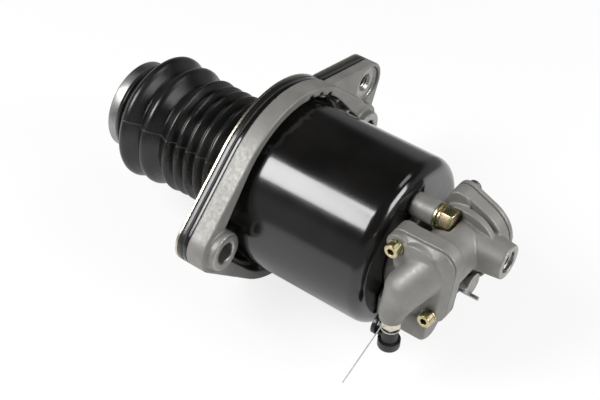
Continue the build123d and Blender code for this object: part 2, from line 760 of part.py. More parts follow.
def make_valve_body():
    """Aluminium casting that holds the hydraulic sleeve and the relay valve."""
    body = body_casting_outside()
    body -= disc(BODY_X - CUT_REACH, BODY_X, 2 * CUT_REACH)
    rear_clear = REAR_R + SCREW_LUG_R
    body -= across(REAR_SEAT_Y, REAR_SEAT_Y + CUT_REACH, rear_clear, CROSS_X, CROSS_Z)
    body -= across(COVER_SEAT_Y - CUT_REACH, COVER_SEAT_Y, CUT_REACH, CROSS_X, CROSS_Z)
    body += disc(SPIGOT_END_X, BODY_X, SPIGOT_R)
    body -= disc(SPIGOT_END_X, SLEEVE_X1 + SEAT_GAP, SLEEVE_R + SEAT_GAP)
    body -= disc(SLEEVE_X1, SLEEVE_X1 + 3.5, ROD_R - 2.0)
    body -= disc(SLEEVE_X1, BARREL_END_X, 2.5)
    body -= disc(BARREL_END_X - PLUG_DEPTH - 1.0, BARREL_END_X, PLUG_R, 0, PLUG_Z)
    body -= disc(BARREL_END_X, BARREL_END_X + 12, PLUG_HEAD_R + 1.0, 0, PLUG_Z)
    body -= disc(BARREL_END_X - PIN_DEPTH, BARREL_END_X, PIN_R, PIN_Y, PIN_Z)
    body -= across(COVER_SEAT_Y, RELAY_FLOOR_Y, RELAY_R, CROSS_X, CROSS_Z)
    body -= across(RELAY_FLOOR_Y, STEM_FLOOR_Y, STEM_R, CROSS_X, CROSS_Z)
    body -= across(STEM_FLOOR_Y, REAR_SEAT_Y, CHAMBER_R, CROSS_X, CROSS_Z)
    body -= disc(TUBE_END_X - PORT_DEPTH, TUBE_END_X, PORT_R, TUBE_Y, CROSS_Z)
    body -= disc(CROSS_X, TUBE_END_X, PORT_PASSAGE_R, TUBE_Y, CROSS_Z)
    port_top = HYDRAULIC_BOSS_Z + HYDRAULIC_PORT_DEPTH
    body -= upright(HYDRAULIC_BOSS_Z, port_top, HYDRAULIC_PORT_R, HYDRAULIC_PORT_X, HYDRAULIC_PORT_Y)
    washers_t = WASHER_T + SPRING_WASHER_T
    head_r = HEX_WIDTH / 2 / cos(pi / 6) + HEX_PLAY
    for y, z in body_bolt_places():
        body -= disc(SPIGOT_END_X, BODY_BOSS_TOP_X, BODY_BOLT_R + BOLT_PLAY, y, z)
        body -= disc(BODY_BOSS_TOP_X, BODY_BOSS_TOP_X + washers_t, WASHER_R + 2 * BOLT_PLAY, y, z)
        body -= disc(BODY_BOSS_TOP_X, BODY_BOSS_TOP_X + washers_t + HEX_HEIGHT + 1.0, head_r, y, z)
    for x, z in COVER_SCREWS:
        body -= across(COVER_SEAT_Y, COVER_SEAT_Y + SCREW_GRIP + 1, SCREW_R, x, z)
    for x, z in rear_screw_places():
        body -= across(REAR_SEAT_Y - SCREW_GRIP - 1, REAR_SEAT_Y, SCREW_R, x, z)
    return body


def rear_screw_places():
    return [
        (CROSS_X + dx, CROSS_Z + dz)
        for dx, dz in (polar(REAR_SCREW_PITCH, angle) for angle in REAR_SCREW_ANGLES)
    ]


def cover_outline(grow=0.0):
    """Outline of the cover: its two screws, its upper corner and the relay bore, in (x, z)."""
    dx, dz = COVER_CORNER
    circles = [(x, z, SCREW_LUG_R + grow) for x, z in COVER_SCREWS]
    circles.append((CROSS_X + dx, CROSS_Z + dz, COVER_CORNER_R + grow))
    return Sketch() + hull((CROSS_X, CROSS_Z, RELAY_R + COVER_WALL + grow), *circles)


def cover_block(y0, y1, grow=0.0):
    """Block in the cover's outline from y0 to y1."""
    return extrude(Plane.XZ.offset(-y1) * cover_outline(grow), y1 - y0)


def make_cover_gasket():
    """Thin sheet between the cover and the body, a little inside their outline."""
    sheet = cover_block(COVER_Y, COVER_SEAT_Y, -GASKET_INSET)
    for x, z in COVER_SCREWS:
        sheet -= across(COVER_Y, COVER_SEAT_Y, SCREW_R + BOLT_PLAY, x, z)
    return sheet - across(COVER_Y, COVER_SEAT_Y, RELAY_R, CROSS_X, CROSS_Z)


def tapered(start, r0, end, r1):
    """Round limb with a ball at each end."""
    along = (end - start).normalized()
    wide = Plane(origin=start, z_dir=along) * Circle(r0)
    narrow = Plane(origin=end, z_dir=along) * Circle(r1)
    balls = Pos(start.X, start.Y, start.Z) * Sphere(r0) + Pos(end.X, end.Y, end.Z) * Sphere(r1)
    return loft([wide.face(), narrow.face()]) + balls


def cover_bulge():
    """Domed limb from the cover's upper side down to the bleed screw's neck."""
    dx, dy, dz = BULB_OFFSET
    top = Vector(CROSS_X + dx, COVER_SEAT_Y + dy, CROSS_Z + dz)
    dx, dy, dz = RAMP_OFFSET
    ramp = Vector(CROSS_X + dx, COVER_SEAT_Y + dy, CROSS_Z + dz)
    foot = Vector(BLEED_X, BLEED_Y, BLEED_SEAT_Z + BLEED_NECK_T)
    bulge = tapered(ramp, RAMP_R, top, BULB_R) + tapered(top, BULB_R, foot, BLEED_NECK_R)
    bulge += upright(BLEED_SEAT_Z, foot.Z, BLEED_NECK_R - 0.4, BLEED_X, BLEED_Y)
    bulge -= across(COVER_Y, COVER_Y + CUT_REACH, CUT_REACH, CROSS_X, CROSS_Z)
    bulge -= upright(BLEED_SEAT_Z - 10, BLEED_SEAT_Z, 3 * BLEED_NECK_R, BLEED_X, BLEED_Y)
    passage = extrude(Plane(origin=foot + Vector(0, 0, 2), z_dir=top - foot) * Circle(1.5), 30)
    return bulge, passage + across(COVER_Y - 9, COVER_Y, 4.0, top.X, top.Z)


def make_valve_cover():
    """Cast cover: sloping face, screw lugs, raised ring and the bulge with the bleed screw."""
    y0 = COVER_Y - COVER_T
    rim_y = COVER_Y - COVER_RIM_T
    cover = cover_block(rim_y, COVER_Y)
    slope = Plane.XZ.offset(-rim_y) * cover_outline()
    cover += extrude(slope, COVER_T - COVER_RIM_T, taper=COVER_SLOPE)
    for x, z in COVER_SCREWS:
        lug = across(y0, COVER_Y, SCREW_LUG_R, x, z)
        cover += fillet(lug.edges().group_by(Axis.Y)[0], 0.8)
    dx, dz = DOME_RING_OFFSET
    ring_x, ring_z = CROSS_X + dx, CROSS_Z + dz
    dome_ring = across(y0 - DOME_RING_T, COVER_Y, DOME_RING_R, ring_x, ring_z)
    cover += fillet(dome_ring.edges().group_by(Axis.Y)[0], 1.0)
    bulge, passage = cover_bulge()
    cover += bulge
    for x, z in COVER_SCREWS:
        cover -= across(y0 - CUT_REACH, y0, SCREW_WASHER_R + 0.7, x, z)
        cover -= across(y0, COVER_Y, SCREW_R + BOLT_PLAY, x, z)
    neck_top = BLEED_SEAT_Z + BLEED_NECK_T + 4
    cover -= upright(BLEED_SEAT_Z, neck_top, BLEED_BORE_R, BLEED_X, BLEED_Y)
    return cover - passage


def socket_screw(seat_y, tip_y, x, z):
    """Socket head screw along Y, with its head on the seat and its tip at tip_y."""
    side = 1 if seat_y > tip_y else -1
    head_y = seat_y + side * SCREW_HEAD_T
    head = across(min(seat_y, head_y), max(seat_y, head_y), SCREW_HEAD_R, x, z)
    head = fillet(head.edges().group_by(Axis.Y)[-1 if side > 0 else 0], 0.5)
    screw = head + across(min(seat_y, tip_y), max(seat_y, tip_y), SCREW_R - RUN_FIT, x, z)
    hexagon = RegularPolygon(SOCKET_WIDTH / 2, 6, major_radius=False)
    socket = Plane.XZ.offset(-head_y) * Pos(x, z) * hexagon
    return screw - extrude(socket, side * SOCKET_DEPTH)


def make_cover_screws():
    seat = COVER_Y - COVER_T - SCREW_WASHER_T
    tip = COVER_SEAT_Y + SCREW_GRIP
    return Compound(children=[socket_screw(seat, tip, x, z) for x, z in COVER_SCREWS])


def make_cover_washers():
    """Split spring washers under the cover screws' heads."""
    y1 = COVER_Y - COVER_T
    y0 = y1 - SCREW_WASHER_T
    washers = []
    for x, z in COVER_SCREWS:
        washer = across(y0, y1, SCREW_WASHER_R, x, z) - across(y0, y1, SCREW_R + RUN_FIT, x, z)
        slot = Box(WASHER_SLOT, 4 * SCREW_WASHER_T, SCREW_WASHER_R)
        washers.append(washer - Pos(x, y1, z + SCREW_WASHER_R) * Rot(0, 0, 30) * slot)
    return Compound(children=washers)


def rear_outline_block(y0, y1):
    """Block in the outline of the rear cap: a circle and its two screw lugs, in one hull."""
    circles = [(x, z, SCREW_LUG_R) for x, z in rear_screw_places()]
    outline = hull((CROSS_X, CROSS_Z, REAR_R), *circles)
    return extrude(Plane.XZ.offset(-y1) * outline, y1 - y0)


def rear_layer(y0, y1):
    """Flat layer in the shape of the rear cap, with its screw holes."""
    layer = rear_outline_block(y0, y1)
    for x, z in rear_screw_places():
        layer -= across(y0, y1, SCREW_R + BOLT_PLAY, x, z)
    return layer


def make_rear_gasket():
    return rear_layer(REAR_SEAT_Y, REAR_CAP_Y) - across(
        REAR_SEAT_Y, REAR_CAP_Y, CHAMBER_R, CROSS_X, CROSS_Z
    )


def make_rear_cap():
    """Round cap with a spring pocket inside and the exhaust vent on its outer face."""
    y0 = REAR_CAP_Y
    y1 = y0 + REAR_CAP_T
    cap = rear_layer(y0, y1)
    cap -= across(y0, y0 + 1.4, CHAMBER_R, CROSS_X, CROSS_Z)
    for angle in range(30, 390, 60):
        dx, dz = polar(VENT_RING_R, angle)
        cap -= across(y0, y1, VENT_R, CROSS_X + dx, CROSS_Z + dz)
    return cap - across(y0, y1, VENT_R, CROSS_X, CROSS_Z)


def make_exhaust_flap():
    """Rubber flap over the vent holes, with its stem through the cap."""
    y1 = REAR_CAP_Y + REAR_CAP_T
    flap = across(y1 + SEAT_GAP, y1 + 1.6, FLAP_R, CROSS_X, CROSS_Z)
    flap = chamfer(flap.edges().group_by(Axis.Y)[-1], 0.8)
    stem = across(REAR_CAP_Y, y1 + 1, VENT_R - RUN_FIT, CROSS_X, CROSS_Z)
    head = across(REAR_CAP_Y, REAR_CAP_Y + 1.2, 2.4, CROSS_X, CROSS_Z)
    return flap + stem + head


def make_cap_screws():
    seat = REAR_CAP_Y + REAR_CAP_T
    tip = REAR_SEAT_Y - SCREW_GRIP
    return Compound(children=[socket_screw(seat, tip, x, z) for x, z in rear_screw_places()])


def make_body_washers():
    """Flat washers on the body bosses."""
    x1 = BODY_BOSS_TOP_X + WASHER_T
    washers = []
    for y, z in body_bolt_places():
        washer = disc(BODY_BOSS_TOP_X, x1, WASHER_R, y, z)
        washers.append(washer - disc(BODY_BOSS_TOP_X, x1, BODY_BOLT_R + BOLT_PLAY, y, z))
    return Compound(children=washers)


def make_spring_washers():
    """Split spring washers between the flat washers and the bolt heads."""
    x0 = BODY_BOSS_TOP_X + WASHER_T
    x1 = x0 + SPRING_WASHER_T
    washers = []
    for y, z in body_bolt_places():
        washer = disc(x0, x1, SPRING_WASHER_R, y, z) - disc(x0, x1, BODY_BOLT_R + RUN_FIT, y, z)
        slot = Box(4 * SPRING_WASHER_T, SPRING_WASHER_R, WASHER_SLOT)
        washers.append(washer - Pos(x0, y - SPRING_WASHER_R, z) * Rot(0, 30, 0) * slot)
    return Compound(children=washers)


def make_body_bolts():
    """Hexagon bolts through the body bosses into the backing ring."""
    bolts = []
    seat = BODY_BOSS_TOP_X + WASHER_T + SPRING_WASHER_T
    half = HEX_WIDTH / 2
    for y, z in body_bolt_places():
        hexagon = Plane.YZ.offset(seat) * Pos(y, z) * RegularPolygon(half, 6, major_radius=False)
        cone = Pos(0, y, z) * turned(
            (
                (seat, 0),
                (seat, half + 1.2),
                (seat + HEX_HEIGHT - 0.9, half + 1.2),
                (seat + HEX_HEIGHT, half - 0.2),
                (seat + HEX_HEIGHT, 0),
            )
        )
        head = extrude(hexagon, HEX_HEIGHT) & cone
        shank = disc(seat - BODY_BOLT_LENGTH, seat, BODY_BOLT_R - RUN_FIT, y, z)
        bolts.append(head + shank)
    return Compound(children=bolts)


def make_relay_piston():
    """Stepped piston pushed by the hydraulic pressure toward the inlet valve."""
    head_y = COVER_SEAT_Y + 0.4
    stem_y = RELAY_FLOOR_Y - RELAY_STROKE - 4.6
    tip_y = STEM_FLOOR_Y + SEAT_T - (RELAY_STROKE - POPPET_LIFT)
    piston = across(head_y, head_y + RELAY_HEAD_T, RELAY_R - RUN_FIT, CROSS_X, CROSS_Z)
    groove = across(head_y + 1.8, head_y + 4.2, RELAY_R, CROSS_X, CROSS_Z)
    groove -= across(head_y, head_y + RELAY_HEAD_T, RELAY_R - 2.2, CROSS_X, CROSS_Z)
    piston -= groove
    piston += across(stem_y, STEM_FLOOR_Y - RELAY_STROKE - 1.0, STEM_R - RUN_FIT, CROSS_X, CROSS_Z)
    return piston + across(stem_y, tip_y, 3.2, CROSS_X, CROSS_Z)


def make_relay_seal():
    head_y = COVER_SEAT_Y + 0.4
    y0 = head_y + 1.8 + SEAT_GAP
    y1 = head_y + 4.2 - SEAT_GAP
    outer = across(y0, y1, RELAY_R - RUN_FIT / 2, CROSS_X, CROSS_Z)
    return outer - across(y0, y1, RELAY_R - 2.2 + SEAT_GAP, CROSS_X, CROSS_Z)


def make_valve_seat():
    y0 = STEM_FLOOR_Y + SEAT_GAP
    seat = across(y0, y0 + SEAT_T, CHAMBER_R - SEAT_GAP, CROSS_X, CROSS_Z)
    return seat - across(y0, y0 + SEAT_T, SEAT_HOLE_R, CROSS_X, CROSS_Z)


def make_inlet_poppet():
    """Rubber-faced disc that closes the seat, with a stem for its spring."""
    y0 = STEM_FLOOR_Y + SEAT_T + 2 * SEAT_GAP
    poppet = across(y0, y0 + POPPET_T, POPPET_R, CROSS_X, CROSS_Z)
    return poppet + across(y0, y0 + POPPET_T + 6, 2.6, CROSS_X, CROSS_Z)


def spring_across(y0, y1, r, turns, wire_r):
    """Coil spring of even radius along Y on the valve axis."""
    length = y1 - y0 - 2 * wire_r
    path = Helix(length / turns, length, r, center=(0, y0 + wire_r, 0), direction=(0, 1, 0))
    wire = sweep(Plane(origin=path @ 0, z_dir=path % 0) * Circle(wire_r), path, is_frenet=True)
    return Pos(CROSS_X, 0, CROSS_Z) * wire


def make_relay_spring():
    y0 = COVER_SEAT_Y + 0.4 + RELAY_HEAD_T + 0.2
    return spring_across(y0, RELAY_FLOOR_Y - 0.2, 10.4, 2.5, 0.6)


def make_poppet_spring():
    y0 = STEM_FLOOR_Y + SEAT_T + 2 * SEAT_GAP + POPPET_T + 0.2
    return spring_across(y0, REAR_CAP_Y + 1.3, 4.6, 6, 0.5)


def make_bleed_screw():
    """Bleed screw with hexagon, nipple and cross hole."""
    top = BLEED_SEAT_Z + BLEED_NECK_T + 2.5
    hex_z = BLEED_SEAT_Z - BLEED_HEX_T - 0.3
    tip_z = hex_z - NIPPLE_LENGTH
    screw = upright(BLEED_SEAT_Z - 0.5, top, BLEED_BORE_R - RUN_FIT, BLEED_X, BLEED_Y)
    hexagon = Plane.XY.offset(hex_z) * Pos(BLEED_X, BLEED_Y) * RegularPolygon(
        BLEED_HEX / 2, 6, major_radius=False
    )
    screw += extrude(hexagon, BLEED_HEX_T)
    screw += upright(tip_z, hex_z, NIPPLE_R, BLEED_X, BLEED_Y)
    screw += upright(tip_z + 1.0, tip_z + 3.5, NIPPLE_R + 0.6, BLEED_X, BLEED_Y)
    return screw - upright(tip_z, top - 4, 0.9, BLEED_X, BLEED_Y)


def make_dust_cap():
    """Rubber cap over the nipple, with a strap that ends in a loop."""
    z0 = CAP_TOP_Z - CAP_LENGTH
    cap = upright(z0, CAP_TOP_Z, CAP_R, BLEED_X, BLEED_Y)
    cap += upright(z0, z0 + 6.0, CAP_R + CAP_RIM, BLEED_X, BLEED_Y)
    cap = fillet(cap.edges().group_by(Axis.Z)[0], 1.2)
    loop_x = BLEED_X - CAP_R - 2 * STRAP_T + 0.6
    loop_z = CAP_TOP_Z - 4.5
    loop = Circle(STRAP_R) - Circle(STRAP_HOLE_R)
    cap += extrude(Plane.YZ.offset(loop_x) * Pos(BLEED_Y, loop_z) * loop, STRAP_T)
    cap += Pos(loop_x + STRAP_T + 1.4, BLEED_Y, loop_z - 5.5) * Box(5.4, 4.0, STRAP_T)
    bore_z = CAP_TOP_Z - NIPPLE_LENGTH - 1.5
    return cap - upright(bore_z, CAP_TOP_Z, NIPPLE_R + 0.6 + RUN_FIT, BLEED_X, BLEED_Y)


def make_cap_tie():
    """Thin nylon tie around the cap's neck with a straight tail."""
    z = CAP_TOP_Z - 2.0
    r = CAP_R + TIE_R + RUN_FIT
    loop = Pos(BLEED_X, BLEED_Y, z) * Torus(r, TIE_R)
    dx, dy = polar(r, TIE_ANGLE)
    start = Vector(BLEED_X + dx, BLEED_Y + dy, z)
    run = Vector(*TIE_RUN)
    tail = extrude(Plane(origin=start, z_dir=run) * Circle(TIE_R), run.length)
    return loop + tail


def make_end_plug():
    """Plug in the end of the barrel, with a flat head."""
    head_x = BARREL_END_X + PLUG_STAND
    plug = disc(BARREL_END_X - PLUG_DEPTH, head_x, PLUG_R - SEAT_GAP, 0, PLUG_Z)
    return plug + disc(head_x, head_x + PLUG_HEAD_T, PLUG_HEAD_R, 0, PLUG_Z)


def make_plug_pin():
    """Pin beside the plug, pressed into the end of the barrel."""
    return disc(BARREL_END_X - PIN_DEPTH, BARREL_END_X + PIN_STAND, PIN_R, PIN_Y, PIN_Z)


MAKERS = {
    "boot_plate": make_boot_plate,
    "front_plate": make_front_plate,
    "flange_gasket": make_gasket,
    "air_cylinder": make_air_cylinder,
    "flange_casting": make_flange_casting,
    "plate_screws": make_plate_screws,
    "boot": make_boot,
    "push_rod": make_push_rod,
    "rod_end_cup": make_rod_end_cup,
    "rod_guide": make_rod_guide,
    "air_piston": make_air_piston,
    "piston_seal": make_piston_seal,
    "guide_ring": make_guide_ring,
    "piston_circlip": make_piston_circlip,
    "plunger_seal": make_plunger_seal,
    "return_spring": make_return_spring,
    "backing_ring": make_backing_ring,
    "body_gasket": make_body_gasket,
    "hydraulic_sleeve": make_hydraulic_sleeve,
    "valve_body": make_valve_body,
    "cover_gasket": make_cover_gasket,
    "valve_cover": make_valve_cover,
    "cover_screws": make_cover_screws,
    "cover_washers": make_cover_washers,
    "rear_gasket": make_rear_gasket,
    "rear_cap": make_rear_cap,
    "exhaust_flap": make_exhaust_flap,
    "cap_screws": make_cap_screws,
    "body_washers": make_body_washers,
    "spring_washers": make_spring_washers,
    "body_bolts": make_body_bolts,
    "relay_piston": make_relay_piston,
    "relay_seal": make_relay_seal,
    "relay_spring": make_relay_spring,
    "valve_seat": make_valve_seat,
    "inlet_poppet": make_inlet_poppet,
    "poppet_spring": make_poppet_spring,
    "bleed_screw": make_bleed_screw,
    "dust_cap": make_dust_cap,
    "cap_tie": make_cap_tie,
    "end_plug": make_end_plug,
    "plug_pin": make_plug_pin,
}

os.makedirs("parts", exist_ok=True)
for part_name, maker in MAKERS.items():
    save(part_name, maker())
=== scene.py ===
"""Clutch servo of a truck, dressed for the camera.

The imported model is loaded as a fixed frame. Each sub-assembly is a class that refines the
pieces seen from outside, gives them their finish, and rides them on the right body.
Lengths are in metres and the frame is the part's own: X along the push rod, Z up.
"""

import logging
import math
from dataclasses import dataclass
from enum import Enum
from typing import Callable, Iterable, Sequence

import bpy
from mathutils import Matrix, Vector


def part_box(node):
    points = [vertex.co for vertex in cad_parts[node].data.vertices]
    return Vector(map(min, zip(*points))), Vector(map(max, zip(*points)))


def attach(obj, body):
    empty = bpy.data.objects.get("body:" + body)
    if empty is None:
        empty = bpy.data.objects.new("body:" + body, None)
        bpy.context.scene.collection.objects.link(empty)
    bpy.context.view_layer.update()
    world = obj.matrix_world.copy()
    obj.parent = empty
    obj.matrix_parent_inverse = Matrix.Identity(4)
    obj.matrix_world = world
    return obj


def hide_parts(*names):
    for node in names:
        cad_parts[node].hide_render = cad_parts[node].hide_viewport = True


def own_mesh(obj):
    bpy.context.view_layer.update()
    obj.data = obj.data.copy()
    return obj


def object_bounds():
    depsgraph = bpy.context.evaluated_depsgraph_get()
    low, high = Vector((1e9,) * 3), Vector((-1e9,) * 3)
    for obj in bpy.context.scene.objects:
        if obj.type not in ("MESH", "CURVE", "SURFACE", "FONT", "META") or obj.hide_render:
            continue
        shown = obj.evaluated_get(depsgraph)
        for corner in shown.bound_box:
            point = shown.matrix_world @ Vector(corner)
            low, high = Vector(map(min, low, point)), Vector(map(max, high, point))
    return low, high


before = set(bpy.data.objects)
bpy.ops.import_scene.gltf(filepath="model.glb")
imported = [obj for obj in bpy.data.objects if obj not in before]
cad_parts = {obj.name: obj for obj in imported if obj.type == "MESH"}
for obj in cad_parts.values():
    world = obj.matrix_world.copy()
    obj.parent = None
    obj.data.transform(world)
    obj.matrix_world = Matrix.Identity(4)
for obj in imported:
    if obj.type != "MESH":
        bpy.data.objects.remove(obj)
CAD_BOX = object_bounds()

MM = 0.001
LOG = logging.getLogger("clutch_servo")
Point = Sequence[float]
Colour = tuple[float, float, float]
Piece = bpy.types.Object
Material = bpy.types.Material
Socket = bpy.types.NodeSocket
FaceTest = Callable[[Vector, Vector], bool]

COPY_MERGE = 0.002 * MM
TURN_MERGE = 0.004 * MM
FINE_MERGE = 0.001 * MM
FLAT_ANGLE = math.radians(0.4)


class Body(Enum):
    """Bodies of the mechanism that a piece can ride on."""

    HOUSING = "housing"
    ROD = "rod"
    BLEED = "bleed"


class RingAxis(Enum):
    """Axis that turning marks run round."""

    X = "X"
    Y = "Y"


# Mesh bench


def only(obj: Piece) -> None:
    """Select one object alone and make it active."""
    if bpy.context.object and bpy.context.object.mode != "OBJECT":
        bpy.ops.object.mode_set(mode="OBJECT")
    bpy.ops.object.select_all(action="DESELECT")
    bpy.context.view_layer.objects.active = obj
    obj.select_set(True)


def edit(obj: Piece, everything: bool = True) -> None:
    """Open one object in edit mode.

    Args:
        obj: The object to open.
        everything: Whether its whole mesh starts selected.
    """
    only(obj)
    bpy.ops.object.mode_set(mode="EDIT")
    bpy.ops.mesh.select_all(action="SELECT" if everything else "DESELECT")


def done() -> None:
    """Leave edit mode."""
    bpy.ops.object.mode_set(mode="OBJECT")


def apply_modifier(obj: Piece, kind: str, **settings: object) -> None:
    """Add a modifier, set it and apply it.

    Args:
        obj: The object that gets the modifier.
        kind: The modifier's type.
        **settings: Values of the modifier's properties.
    """
    only(obj)
    modifier = obj.modifiers.new(kind.lower(), kind)
    for key, value in settings.items():
        setattr(modifier, key, value)
    bpy.ops.object.modifier_apply(modifier=modifier.name)


def smooth(obj: Piece, degrees: float = 32.0) -> None:
    """Shade an object smooth, and keep edges sharper than the angle."""
    only(obj)
    bpy.ops.object.shade_smooth_by_angle(angle=math.radians(degrees))


def bench_copy(node: str, name: str) -> Piece:
    """Copy a CAD node as a merged mesh.

    Args:
        node: Name of the CAD node.
        name: Name of the new piece.

    Returns:
        The copy, at the origin and without a parent.
    """
    only(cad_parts[node])
    bpy.ops.object.duplicate()
    copy = bpy.context.object
    copy.parent = None
    copy.matrix_world = Matrix.Identity(4)
    copy.name = name
    for key in list(copy.keys()):
        del copy[key]
    edit(copy)
    bpy.ops.mesh.remove_doubles(threshold=COPY_MERGE)
    bpy.ops.mesh.dissolve_limited(angle_limit=FLAT_ANGLE)
    done()
    return copy


def profile_line(name: str, points: Sequence[Point]) -> Piece:
    """Draw a chain of vertices in the XZ plane by extruding a single vertex.

    Args:
        name: Name of the new object.
        points: The chain's (x, radius) points.

    Returns:
        The object that holds the chain.
    """
    bpy.ops.object.select_all(action="DESELECT")
    bpy.ops.mesh.primitive_plane_add(size=MM, location=(0, 0, 0))
    obj = bpy.context.object
    obj.name = name
    edit(obj)
    bpy.ops.mesh.merge(type="CENTER")
    bpy.ops.transform.translate(value=(points[0][0], 0, points[0][1]))
    for before, after in zip(points, points[1:]):
        step = (after[0] - before[0], 0, after[1] - before[1])
        bpy.ops.mesh.extrude_vertices_move(TRANSFORM_OT_translate={"value": step})
    done()
    return obj


def turned(name: str, points: Sequence[Point], steps: int = 96) -> Piece:
    """Turn a closed profile about the X axis.

    Args:
        name: Name of the new piece.
        points: The profile's (x, radius) points, in order.
        steps: Number of steps round the axis.

    Returns:
        The closed, smooth shaded piece.
    """
    obj = profile_line(name, [*points, points[0]])
    edit(obj)
    bpy.ops.mesh.spin(steps=steps, angle=2 * math.pi, center=(0, 0, 0), axis=(1, 0, 0))
    bpy.ops.mesh.select_all(action="SELECT")
    bpy.ops.mesh.remove_doubles(threshold=TURN_MERGE)
    bpy.ops.mesh.normals_make_consistent(inside=False)
    done()
    smooth(obj)
    return obj


def rounded(points: Sequence[Point], radii: Sequence[float], steps: int = 5) -> list[Point]:
    """Round the corners of a chain of points.

    Args:
        points: The chain's (x, radius) points.
        radii: The rounding radius at each point, 0 for a sharp one.
        steps: Number of steps of each rounding.

    Returns:
        The chain with its corners rounded.
    """
    chain: list[Point] = [points[0]]
    for i in range(1, len(points) - 1):
        here = Vector(points[i])
        back = Vector(points[i - 1]) - here
        ahead = Vector(points[i + 1]) - here
        if radii[i] <= 0:
            chain.append(tuple(here))
            continue
        half = back.angle(ahead) / 2
        cut = min(radii[i] / math.tan(half), 0.48 * min(back.length, ahead.length))
        start = here + back.normalized() * cut
        end = here + ahead.normalized() * cut
        for k in range(steps + 1):
            share = k / steps
            spot = start.lerp(here, share).lerp(here.lerp(end, share), share)
            chain.append(tuple(spot))
    chain.append(points[-1])
    return chain


def join(name: str, objects: Sequence[Piece]) -> Piece:
    """Join objects into one named piece."""
    only(objects[0])
    for obj in objects:
        obj.select_set(True)
    bpy.ops.object.join()
    joined = bpy.context.object
    joined.name = name
    return joined


# Finishes


class Graph:
    """Node tree with short ways to add nodes."""

    def __init__(self, tree: bpy.types.NodeTree) -> None:
        """Work on a tree."""
        self.nodes = tree.nodes
        self.links = tree.links

    def add(self, kind: str, inputs: dict | None = None, **settings: object) -> bpy.types.Node:
        """Add a node, and join or set its inputs.

        Args:
            kind: The node's type, without its prefix.
            inputs: A socket to join or a constant to set, by the input's name or number.
            **settings: Values of the node's own properties.

        Returns:
            The node.
        """
        node = self.nodes.new(f"ShaderNode{kind}")
        for key, value in settings.items():
            setattr(node, key, value)
        for key, value in (inputs or {}).items():
            if isinstance(value, Socket):
                self.links.new(value, node.inputs[key])
            else:
                node.inputs[key].default_value = value
        return node

    def ramp(self, value: Socket, stops: Sequence[tuple[float, Colour]], blend: str = "LINEAR") -> Socket:
        """Return a colour read from stops.

        Args:
            value: The value that the stops are read at.
            stops: Positions from 0 to 1 with their colours.
            blend: How the colours run into each other.

        Returns:
            The colour.
        """
        node = self.add("ValToRGB", {"Fac": value})
        node.color_ramp.interpolation = blend
        elements = node.color_ramp.elements
        while len(elements) < len(stops):
            elements.new(0.5)
        for element, (position, colour) in zip(elements, stops):
            element.position = position
            element.color = (*colour, 1.0)
        return node.outputs["Color"]


class Shader(Graph):
    """Node tree of one material."""

    noise_range = (0.3, 0.7)

    def __init__(self, name: str) -> None:
        """Start a material with a plain shader in it."""
        self.material = bpy.data.materials.new(name)
        self.material.use_nodes = True
        super().__init__(self.material.node_tree)
        self.shader = self.nodes["Principled BSDF"]
        self.place = self.add("TexCoord").outputs["Object"]

    def set(self, **values: object) -> None:
        """Set constant values on the shader's own sockets."""
        for key, value in values.items():
            self.shader.inputs[key.replace("_", " ")].default_value = value

    def centred(self, centre: Point) -> Socket:
        """Return the place measured from a centre."""
        away = [-value for value in centre]
        return self.add("Mapping", {"Location": away, "Vector": self.place}).outputs["Vector"]

    def noise(self, scale: float, detail: float = 3.0) -> Socket:
        """Return a noise value, with a number of features to the metre and of finer layers."""
        inputs = {"Scale": scale, "Detail": detail, "Vector": self.place}
        return self.add("TexNoise", inputs).outputs["Fac"]

    def spread(self, value: Socket, low: float, high: float) -> Socket:
        """Return a noise value spread to a new range."""
        start, end = self.noise_range
        inputs = {"From Min": start, "From Max": end, "To Min": low, "To Max": high, "Value": value}
        return self.add("MapRange", inputs).outputs["Result"]

    def rings(self, axis: RingAxis, scale: float, place: Socket | None = None) -> Socket:
        """Return turning marks round an axis."""
        inputs = {"Scale": scale, "Distortion": 0.6, "Detail": 2.0, "Vector": place or self.place}
        return self.add("TexWave", inputs, wave_type="RINGS", rings_direction=axis.value).outputs["Fac"]

    def bump(self, heights: Iterable[tuple[Socket, float, float]]) -> None:
        """Stack bumps on the shader.

        Args:
            heights: Value, strength and depth in metres of each bump.
        """
        normal = None
        for value, strength, depth in heights:
            inputs = {"Strength": strength, "Distance": depth, "Height": value}
            if normal is not None:
                inputs["Normal"] = normal
            normal = self.add("Bump", inputs).outputs["Normal"]
        self.links.new(normal, self.shader.inputs["Normal"])

    def colour(self, socket: Socket) -> None:
        """Drive the base colour."""
        self.links.new(socket, self.shader.inputs["Base Color"])

    def roughness(self, socket: Socket) -> None:
        """Drive the roughness."""
        self.links.new(socket, self.shader.inputs["Roughness"])


@dataclass(frozen=True)
class Finish:
    """One finish, known by its material's name."""

    name: str

    def material(self) -> Material:
        """Build the material."""
        shader = Shader(self.name)
        self.lay(shader)
        return shader.material

    def lay(self, shader: Shader) -> None:
        """Lay the finish on a material's shader."""
        raise NotImplementedError


